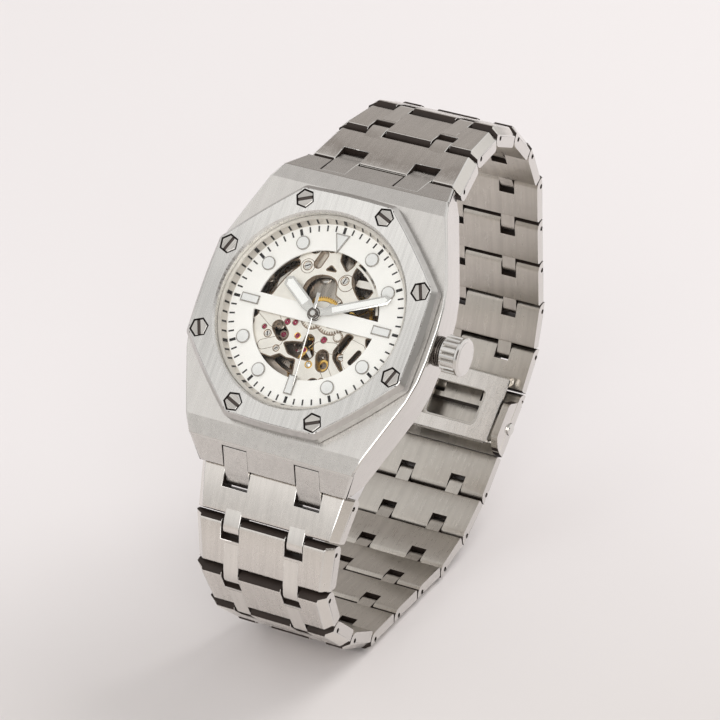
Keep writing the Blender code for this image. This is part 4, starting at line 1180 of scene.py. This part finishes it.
PALLET_FRAME = place(*PALLET) @ Matrix.Rotation(
    math.atan2(BALANCE[1] - PALLET[1], BALANCE[0] - PALLET[0]), 4, 'Z')
FORK = [(-0.4, -1.55), (0.0, -1.6), (0.25, -0.4), (2.7, -0.14), (3.2, -0.3), (3.25, -0.12),
        (2.95, 0.0), (3.25, 0.12), (3.2, 0.3), (2.7, 0.14), (0.25, 0.4), (0.0, 1.6),
        (-0.4, 1.55), (-0.2, 0.0)]
works(prism(rounded(FORK, 0.08, 2), -5.95, -5.78), "pallet_lever", POLISH, body="pallet_fork",
      local=PALLET_FRAME, bevel=0.03, segs=1, replaces="pallet_fork")
works(join([box(-0.42, -0.1, y0, y0 + 0.28, -6.02, -5.7) for y0 in (-1.62, 1.34)]),
      "pallet_stones", RUBY, body="pallet_fork", local=PALLET_FRAME)

holder = ring(13.35, 15.75, -8.9, -3.2, 96)
cut(holder, rod_x(1.1, 10, 20, 16, (0, CROWN_Z)))
# holder ring in dark brown: painted shade
works(holder, "movement_ring", DEEP_SHADE, bevel=0.1, edge=ANGLAGE, replaces="movement_holder")

# -------------------------------------------------------------- rotor and case back
works(prism(sector(10.3, 12.7, 194, 346, 60), -9.05, -8.15), "rotor_rim", DRUM, body="rotor",
      bevel=0.12, segs=3, edge=POLISH)
web = prism([(-10.9, -4.6), (-1.5, 1.0), (1.5, 1.0), (10.9, -4.6)] + arc(10.5, 340, 200, 24),
            -8.55, -8.2)
cut(web, *[prism(sector(5.0, 8.6, start, start + 43, 14), -10, -7) for start in (215, 282)])
works(web, "rotor_web", STRIPES, body="rotor", bevel=0.08, edge=ANGLAGE, replaces="rotor")
finish(turned([(0, -8.95), (0.9, -8.95), (1.2, -8.85), (1.5, -8.85), (1.6, -8.75),
               (1.6, -8.1), (0, -8.1)], 48), "rotor_bearing", POLISH, "polished_steel",
       body="rotor")
BALL = [(0, -0.12), (0.09, -0.1), (0.12, 0.0), (0.09, 0.1), (0, 0.12)]
finish(join([move(turned(BALL, 10), (*polar(1.2, 45 * k), -8.9)) for k in range(8)]),
       "rotor_balls", GOLD, "polished_steel", body="rotor")

back = turned([(12.7, -11.4), (16.5, -11.4), (16.9, -11.15), (16.9, -10.45), (15.75, -10.45),
               (15.75, -9.1), (13.65, -9.1), (13.65, -10.35), (12.6, -10.35),
               (12.6, -11.25)], 144)
cut(back, *[turn(box(-0.9, 0.9, 15.7, 17.5, -12, -10.9), 60 * k) for k in range(6)])
# case back ring in the darker inside steel, painted shade
finish(back, "case_back_bezel", [INNER_SHADE, BRUSHED], "brushed_steel", bevel=0.08, edge=POLISH,
       replaces="case_back_ring")
finish(turned([(0, -10.3), (13.55, -10.3), (13.55, -9.4), (13.4, -9.25), (0, -9.25)], 96),
       "case_back_glass", GLASS, "crystal_glass", replaces="case_back_crystal")

# ------------------------------------------------------------------- crown and stem
CROWN_FRAME = place(0, 0, CROWN_Z)
CROWN_FLUTES = 16
# one ridge of the grip: share of the ridge pitch, radius
CROWN_RIDGE = [(-0.5, 2.45), (-0.42, 2.5), (-0.33, 2.78), (-0.22, 2.92), (0.0, 2.96),
               (0.22, 2.92), (0.33, 2.78), (0.42, 2.5)]
# ringed collar, as (radius, x)
CROWN_SEAT = [(1.52, 19.0), (2.35, 19.0), (2.35, 20.2), (2.05, 20.25), (2.05, 20.35),
              (2.3, 20.4), (2.3, 20.55), (2.05, 20.6), (2.05, 20.7), (2.3, 20.75),
              (2.3, 20.9), (2.05, 20.95), (1.52, 20.95)]


def crown_part(part, name, materials, **options):
    finish(part, name, materials, "polished_steel", local=CROWN_FRAME, **options)


crown_part(turn(ring(0.8, 1.5, 15.95, 20.9, 48), 90, 'Y'), "crown_collar", COLLAR,
           replaces="crown_tube")
crown_part(turn(turned(CROWN_SEAT, 48), 90, 'Y'), "crown_seat", COLLAR, bevel=0.06)
stem = combine(rod_x(0.45, 11.4, 22.2), rod_x(0.62, 12.4, 14.6), 'UNION')
crown_part(stem, "stem_rod", POLISH, body="stem", replaces="winding_stem")
grip = prism(toothed(CROWN_FLUTES, CROWN_RIDGE), 21.45, 23.95)
cut(grip, disc(1.7, 20.0, 22.6, 32))
# groove faces of the grip take the dark flute steel, painted shade
crown_part(turn(grip, 90, 'Y'), "crown_grip", [POLISH, FLUTE_SHADE], body="crown", replaces="crown",
           pick=lambda n, c: 1 if abs(n.x) < 0.5 and math.hypot(c.y, c.z) < 2.62 else 0)
crown_part(turn(turned([(1.9, 23.8), (2.9, 23.8), (3.0, 23.9), (3.0, 24.2), (2.85, 24.4),
                        (2.5, 24.46), (2.42, 24.52), (0, 24.56), (0, 23.8)], 72), 90, 'Y'),
           "crown_cap", POLISH, body="crown")
crown_part(turn(turned([(1.7, 21.1), (2.45, 21.1), (2.6, 21.25), (2.6, 21.6), (1.7, 21.6)],
                       60), 90, 'Y'), "crown_skirt", POLISH, body="crown")


# ---------------------------------------------------------------------------- hands
def hand(name, body, angle, z0, z1, outline, boss, fill=None):
    """Hand that points to 12 before it is turned; boss is a (radius, z) profile."""
    local = place(degrees=-angle)
    blade = loft([(outline, z0), (outline, z1 - 0.05), (inset(outline, 0.10), z1)])
    finish(blade, name + "_blade", POLISH, "hand_steel", body=body, local=local, replaces=name)
    if fill:
        finish(prism(fill, z1 - 0.02, z1 + 0.03), name + "_fill", HAND_FILL, "hand_steel",
               body=body, local=local)
    finish(turned(boss, 40), name + "_boss", POLISH, "hand_steel", body=body, local=local)


hand("hour_hand", "hour_hand", HOUR_ANGLE, -2.45, -2.3,
     outline=[(-0.45, 0.3), (0.45, 0.3), (0.95, 2.2), (0.95, 7.3), (0.0, 8.0), (-0.95, 7.3),
              (-0.95, 2.2)],
     fill=[(-0.62, 2.5), (0.62, 2.5), (0.62, 7.0), (0.0, 7.45), (-0.62, 7.0)],
     boss=[(0.72, -2.5), (0.95, -2.5), (0.95, -2.28), (0.9, -2.24), (0.72, -2.24)])
hand("minute_hand", "minute_hand", MINUTE_ANGLE, -2.18, -2.05,
     outline=[(-0.38, 0.3), (0.38, 0.3), (0.72, 2.4), (0.72, 11.9), (0.0, 12.6),
              (-0.72, 11.9), (-0.72, 2.4)],
     fill=[(-0.42, 3.0), (0.42, 3.0), (0.42, 11.6), (0.0, 12.0), (-0.42, 11.6)],
     boss=[(0.4, -4.1), (0.62, -4.1), (0.62, -2.2), (0.85, -2.2), (0.85, -2.02),
           (0.8, -1.98), (0.4, -1.98)])
hand("second_hand", "fourth_arbor", SECOND_ANGLE, -1.84, -1.74,
     outline=[(-0.28, -3.3), (0.28, -3.3), (0.22, -1.2), (0.13, 0.0), (0.10, 11.6),
              (-0.10, 11.6), (-0.13, 0.0), (-0.22, -1.2)],
     boss=[(0, -2.0), (0.35, -2.0), (0.35, -1.9), (0.46, -1.9), (0.46, -1.66), (0.4, -1.58),
           (0.2, -1.55), (0, -1.55)])
finish(turned([(0.47, -1.9), (0.74, -1.9), (0.74, -1.72), (0.68, -1.67), (0.47, -1.67)], 40),
       "second_hand_collar", COLLAR, "hand_steel", body="fourth_arbor")
finish(ring(0.86, 1.06, -2.1, -2.04, 40), "minute_hand_washer", COLLAR, "hand_steel",
       body="minute_hand")

# ------------------------------------------------------------------------- bracelet
# A link's frame has its rear pin at the origin, x across, y towards the next link
# and z outwards from the wrist.
LINK_STEELS = [BRUSHED, FLANK, INNER_SHADE, FACET, RECESS_SHADE]
PIN_HOLE_R, LINK_PIN_R, PIN_HOLE_AT = 0.40, 0.36, (0.0, -0.12)
TAB_PLAY = 0.15


def link_frame(pin, heading, side):
    """side is 1 for the strand at 12 o'clock and -1 for the one at 6."""
    c, s = math.cos(math.radians(heading)), math.sin(math.radians(heading))
    return Matrix(((side, 0, 0, 0), (0, side * c, side * s, pin[0]), (0, -s, c, pin[1]),
                   (0, 0, 0, 1)))


def link_profile(end, rear_top=LINK_OUT):
    """(y, z) section of a link whose front face is at y = end."""
    front_r = 0.42
    rear_r = 0.8 if rear_top < 1.7 else front_r
    return (arc(rear_r, 180, 90, 3, (-REAR_LIP + rear_r, rear_top - rear_r))
            + arc(front_r, 90, 0, 3, (end - front_r, LINK_OUT - front_r))
            + [(end, LINK_IN + 0.4), (end - 0.12, LINK_IN + 0.12), (end - 0.4, LINK_IN)]
            + arc(REAR_LIP, 270, 180, 6))


def tapered(outline, rear_half, front_half, span):
    """Outline (y, z) extruded across x, bevelled along both outer long edges."""
    low = LINK_OUT - LINK_CHAMFER
    rows = [(rear_half + (front_half - rear_half) * y / span, y, z) for y, z in outline]
    return skin([[(-h, y, min(z, low)) for h, y, z in rows],
                 [(LINK_CHAMFER - h, y, z) for h, y, z in rows],
                 [(h - LINK_CHAMFER, y, z) for h, y, z in rows],
                 [(h, y, min(z, low)) for h, y, z in rows]])


def notch_cutters(link):
    inner, outer = notch(link)
    return [box(x0, x1, -5, 1.75, -5, 5) for x0, x1 in ((-outer, -inner), (inner, outer))]


def link_weight(middle, n1, n2):
    """Soft polished break on the long edges of the outer bevels and round the notches."""
    long_edge = abs(n1.y) < 0.5 and abs(n2.y) < 0.5
    if abs(middle.x) > 8.2 and middle.z > 0.33 and long_edge:
        return 1.0
    if abs(middle.x) < 8.6 and middle.z > 1.2 and min(abs(n1.z), abs(n2.z)) < 0.3:
        return 0.6
    return 0.0


def link_pick(normal, centre):
    """Index into LINK_STEELS: 0 top, 1 flank, 2 inside in a darker steel as painted shade, 3 bevel,
    4 notch and end faces painted near black as shade.
    """
    if abs(normal.x) > 0.8:
        return 4 if abs(centre.x) < 8.8 and centre.y < 1.9 else 1
    if abs(normal.x) > 0.4 and normal.z > 0.4:
        return 3
    if normal.z < -0.75:
        return 2
    return 4 if normal.y > 0.9 or normal.y < -0.45 else 0


def tab_pick(normal, centre):
    """0 top in a lighter steel as painted highlight, 1 sides and steep faces painted near black as
    shade, 2 underside in a darker steel as painted shade.
    """
    if abs(normal.x) > 0.8 or -0.35 < normal.z < 0.25:
        return 1
    return 2 if normal.z < 0.25 else 0


def link_tabs(name, body, link, pitch, end, local):
    """Two tabs that reach from a link's front into the notches of the next one."""
    inner, outer = notch(link + 1)
    top = LINK_OUT + 0.02
    profile = [(2.15, LINK_OUT - 0.3), (2.15, LINK_OUT + 0.015), (end - 1.2, top)]
    curve = ((end - 0.8, top), (pitch - 0.55, top), (pitch + 0.25, TAB_R + 0.02))
    for k in range(6):
        t = k / 5
        profile.append(tuple((1 - t) ** 2 * a + 2 * t * (1 - t) * b + t * t * c
                             for a, b, c in zip(*curve)))
    profile += arc(TAB_R, 65, -105, 10, (pitch, 0))
    profile += [(pitch - 0.5, -TAB_R + 0.05), (end - 1.4, -TAB_R + 0.1),
                (end - 1.4, LINK_OUT - 0.3)]
    ranges = both_sides(inner + TAB_PLAY, outer - TAB_PLAY)
    tabs = join([side_prism(profile, x0, x1) for x0, x1 in reversed(ranges)])
    cut(tabs, rod_x(BORE_R, -outer - 1.0, outer + 1.0, 24, (pitch, 0)))

    def weight(middle, n1, n2):
        """Bevel the upper side edges, clear of the bore."""
        side_edge = (abs(n1.x) > 0.8) != (abs(n2.x) > 0.8)
        clear = (middle.y - pitch) ** 2 + middle.z ** 2 > 1.2
        return 1.0 if side_edge and clear and middle.z > 0.9 else 0.0

    finish(tabs, name, [TAB_HIGHLIGHT_STEEL, RECESS_SHADE, INNER_SHADE], "brushed_steel", body=body, local=local,
           bevel=0.16, edge=POLISH, clamp=False, pick=tab_pick, angle=30.0, weight=weight)


def link_plate(name, body, link, pitch, end, local, rear_top=LINK_OUT):
    """Plate of a link and the pin through it."""
    half = half_width(link)
    plate = tapered(link_profile(end, rear_top), half, half_width(link + 1), pitch)
    cut(plate, *notch_cutters(link),
        *side_rods(PIN_HOLE_R, half - 0.55, half + 1, 20, PIN_HOLE_AT))
    finish(plate, name + "_plate", LINK_STEELS, "brushed_steel", body=body, local=local,
           bevel=0.14, edge=POLISH, weight=link_weight, pick=link_pick, replaces=body,
           clamp=False)
    finish(rod_x(LINK_PIN_R, -half + 0.42, half - 0.42, 20, PIN_HOLE_AT), name + "_pin", COLLAR,
           "polished_steel", body=body, local=local)


STRANDS = [("upper", 1, UPPER_PITCH, UPPER, UPPER_HEADING),
           ("lower", -1, LOWER_PITCH, LOWER, LOWER_HEADING)]
for i in range(10):
    for tag, side, pitches, pins, headings in STRANDS:
        name = "%s_link_%d" % (tag, i + 1)
        local = link_frame(pins[i], headings[i], side)
        end = pitches[i] - FRONT_GAP
        link_plate(name, name, i, pitches[i], end, local, 1.9 if i == 0 else LINK_OUT)
        link_tabs(name + "_tabs", name, i, pitches[i], end, local)

# ---------------------------------------------------------------------------- clasp
COVER_END, END_GAP = 9.6, 0.55
CLASP_HALF = half_width(10)
CLASP_FRAME = link_frame(UPPER[10], CLASP_HEADING, 1)
# (y, z) in the clasp's frame
BUTTON, OUTER_HINGE, INNER_HINGE = (5.0, -0.9), (8.5, -2.95), (-2.4, -2.95)
BLADE_SPAN = OUTER_HINGE[0] - INNER_HINGE[0]
COVER_WALL = rounded([(0.2, 0.5), (0.2, -1.0), (1.9, -4.4), (7.9, -4.4), (9.4, -2.2),
                      (9.4, 0.5)], 0.7, 5)


def in_clasp(point):
    return CLASP_FRAME @ Matrix.Translation((0, *point))


cover = tapered(link_profile(COVER_END), CLASP_HALF, half_width(11), PITCH)
cut(cover, *notch_cutters(10), box(-CLASP_HALF + 1.3, CLASP_HALF - 1.3, 2.6, 12, -6, 0.5),
    *side_rods(0.56, CLASP_HALF - 0.5, CLASP_HALF + 1, 24))
for x0, x1 in both_sides(CLASP_HALF - 1.25, CLASP_HALF - 0.05):
    combine(cover, side_prism(COVER_WALL, x0, x1), 'UNION')
cut(cover, *side_rods(1.06, CLASP_HALF - 2.5, CLASP_HALF + 2, 32, BUTTON))
finish(cover, "clasp_cover_shell", LINK_STEELS, "brushed_steel", body="clasp_cover",
       local=CLASP_FRAME, bevel=0.28, edge=POLISH, weight=link_weight, pick=link_pick,
       replaces="clasp_cover")
finish(rod_x(0.5, -CLASP_HALF + 0.22, CLASP_HALF - 0.22, 24), "clasp_cover_pin", POLISH,
       "polished_steel", body="clasp_cover", local=CLASP_FRAME)


def blade_part(part, name, material, which, slot="brushed_steel", **options):
    hinge = OUTER_HINGE if which == "outer" else INNER_HINGE
    finish(part, name, material, slot, body="clasp_%s_blade" % which, local=in_clasp(hinge),
           **options)


blade = box(-7.3, 7.3, -BLADE_SPAN, 0.0, -0.35, 0.35)
window = rectangle(-4.4, 4.4, -BLADE_SPAN + 2.2, -2.2)
cut(blade, prism(rounded(window, 0.8), -2, 2))
# outer blade in the darker inside steel, painted shade
blade_part(blade, "outer_blade_plate", INNER_SHADE, "outer", bevel=0.12, edge=POLISH,
           replaces="clasp_outer_blade")
blade_part(join([rod_x(0.55, -7.3, 7.3, 24, (y, 0)) for y in (0, -BLADE_SPAN)]),
           "outer_blade_knuckles", POLISH, "outer", bevel=0.06)
blade_part(join([rod_x(0.3, -half, half, 16, (y, 0))
                 for half, y in ((CLASP_HALF - 0.75, 0), (8.35, -BLADE_SPAN))]),
           "outer_blade_pins", POLISH, "outer", slot="polished_steel")

blade = box(-8.3, 8.3, 0.1, 11.5, -1.4, -0.75)
cut(blade, prism(rounded(rectangle(-5.2, 5.2, 3.0, 9.3), 1.0), -3, 0.2))
blade_part(blade, "inner_blade_plate", BRUSHED, "inner", bevel=0.12, edge=POLISH,
           replaces="clasp_inner_blade")
ear = [(1.4, -0.9), (1.4, -1.3), (0.0, -1.35)] + arc(0.62, 215, 35, 12)
ears = join([side_prism(ear, x0, x1) for x0, x1 in both_sides(7.55, 8.3)])
cut(ears, rod_x(0.36, -9, 9, 16))
# blade ears in the darker inside steel, painted shade
blade_part(ears, "inner_blade_ears", INNER_SHADE, "inner", bevel=0.05, segs=1)

# push button, as (radius, distance beyond the clasp's flank)
BUTTON_PROFILE = [(0, -1.2), (0.98, -1.2), (0.98, 0.2), (0.86, 0.38), (0.6, 0.45), (0, 0.45)]
for side, tag in ((1, "right"), (-1, "left")):
    button = turned([(r, CLASP_HALF + x) for r, x in BUTTON_PROFILE], 40)
    finish(turn(button, 90 * side, 'Y'), "push_button_cap_" + tag, POLISH, "polished_steel",
           body="push_button_" + tag, local=in_clasp(BUTTON), replaces="push_button_" + tag)
link_plate("clasp_end", "clasp_lower_end", 10, PITCH, CLASP_SPAN - COVER_END - END_GAP,
           link_frame(LOWER[10], 360.0 - CLASP_HEADING, -1))


# --------------------------------------------------------- stage, lights and camera
def make_floor():
    """Pale floor with a painted shadow that darkens it towards the camera."""
    mesh = bpy.data.meshes.new("floor")
    bm = bmesh.new()
    bmesh.ops.create_grid(bm, x_segments=1, y_segments=1, size=6.0)
    bm.to_mesh(mesh)
    bm.free()
    floor = bpy.data.objects.new("floor", mesh)
    bpy.context.scene.collection.objects.link(floor)
    material, tree, shader = new_material("floor_pale_painted_shadow")
    coords = node(tree, "TexCoord").outputs["Object"]
    # painted shadow: the floor colour darkens towards the camera
    painted_shadow = facing(tree, coords, (0.4847, -0.8747, 0.0), lo=-0.06, hi=0.16)
    tree.links.new(mix(tree, painted_shadow, (0.735, 0.706, 0.712), (0.53, 0.50, 0.475)),
                   shader.inputs["Base Color"])
    shader.inputs["Roughness"].default_value = 0.75
    floor.data.materials.append(material)


# (height, colour) of the surroundings from straight-down 0 to straight-up 1
SKY = [(0.0, (0.80, 0.785, 0.77)), (0.10, (0.72, 0.71, 0.70)), (0.45, (1.0, 0.985, 0.97)),
       (0.72, (1.0, 0.985, 0.97)), (1.0, (0.80, 0.79, 0.785))]
# soft dark patches for the steel to reflect: direction, start and full alignment, colour
SKY_PATCHES = [((-0.42, 0.45, 0.79), 0.955, 0.988, (0.34, 0.31, 0.29)),
               ((-0.42, 0.80, 0.43), 0.88, 0.96, (0.48, 0.45, 0.43)),
               ((0.85, -0.35, 0.30), 0.86, 0.96, (0.20, 0.18, 0.165))]


def make_world(scene):
    scene.world = bpy.data.worlds.new("studio")
    scene.world.use_nodes = True
    tree = scene.world.node_tree
    background = tree.nodes["Background"]
    coords = node(tree, "TexCoord").outputs["Generated"]
    height = node(tree, "SeparateXYZ", {"Vector": coords}).outputs["Z"]
    colour = colour_ramp(tree, height, SKY)
    for direction, lo, hi, dark in SKY_PATCHES:
        inside = facing(tree, coords, Vector(direction).normalized(), lo, hi)
        colour = mix(tree, inside, colour, dark)
    tree.links.new(colour, background.inputs["Color"])
    background.inputs["Strength"].default_value = 0.90


def area_light(name, location, size, energy, colour):
    """Round area light aimed at the middle of the watch."""
    light = bpy.data.lights.new(name, 'AREA')
    light.shape = 'DISK'
    light.size = size
    light.energy = energy
    light.color = colour
    lamp = bpy.data.objects.new(name, light)
    lamp.location = location
    aim = Vector((0, 0, 0.03)) - Vector(location)
    lamp.rotation_euler = aim.to_track_quat('-Z', 'Y').to_euler()
    bpy.context.scene.collection.objects.link(lamp)
    return lamp


def make_camera(scene):
    lens = bpy.data.cameras.new("camera")
    lens.lens = 199.8
    lens.sensor_width = 36.0
    lens.clip_start = 0.01
    lens.clip_end = 50.0
    camera = bpy.data.objects.new("camera", lens)
    camera.location = (0.2658, -0.4784, 0.3394)
    camera.rotation_euler = [math.radians(degrees) for degrees in (61.58, 0.05, 28.94)]
    scene.collection.objects.link(camera)
    scene.camera = camera


scene = bpy.context.scene
make_floor()
make_world(scene)
key = area_light("key_soft", (0.28, 0.72, 0.95), size=0.75, energy=6.5,
                 colour=(1.0, 0.985, 0.965))
key.visible_glossy = False
area_light("fill_front", (0.45, -1.15, 0.70), size=1.4, energy=9.0, colour=(1.0, 0.985, 0.97))
make_camera(scene)
scene.view_settings.view_transform = 'Standard'
scene.view_settings.look = 'None'
scene.view_settings.exposure = 0.0

# drop the meshes that the booleans left behind
for mesh in list(bpy.data.meshes):
    if mesh.users == 0:
        bpy.data.meshes.remove(mesh)
bpy.context.view_layer.update()
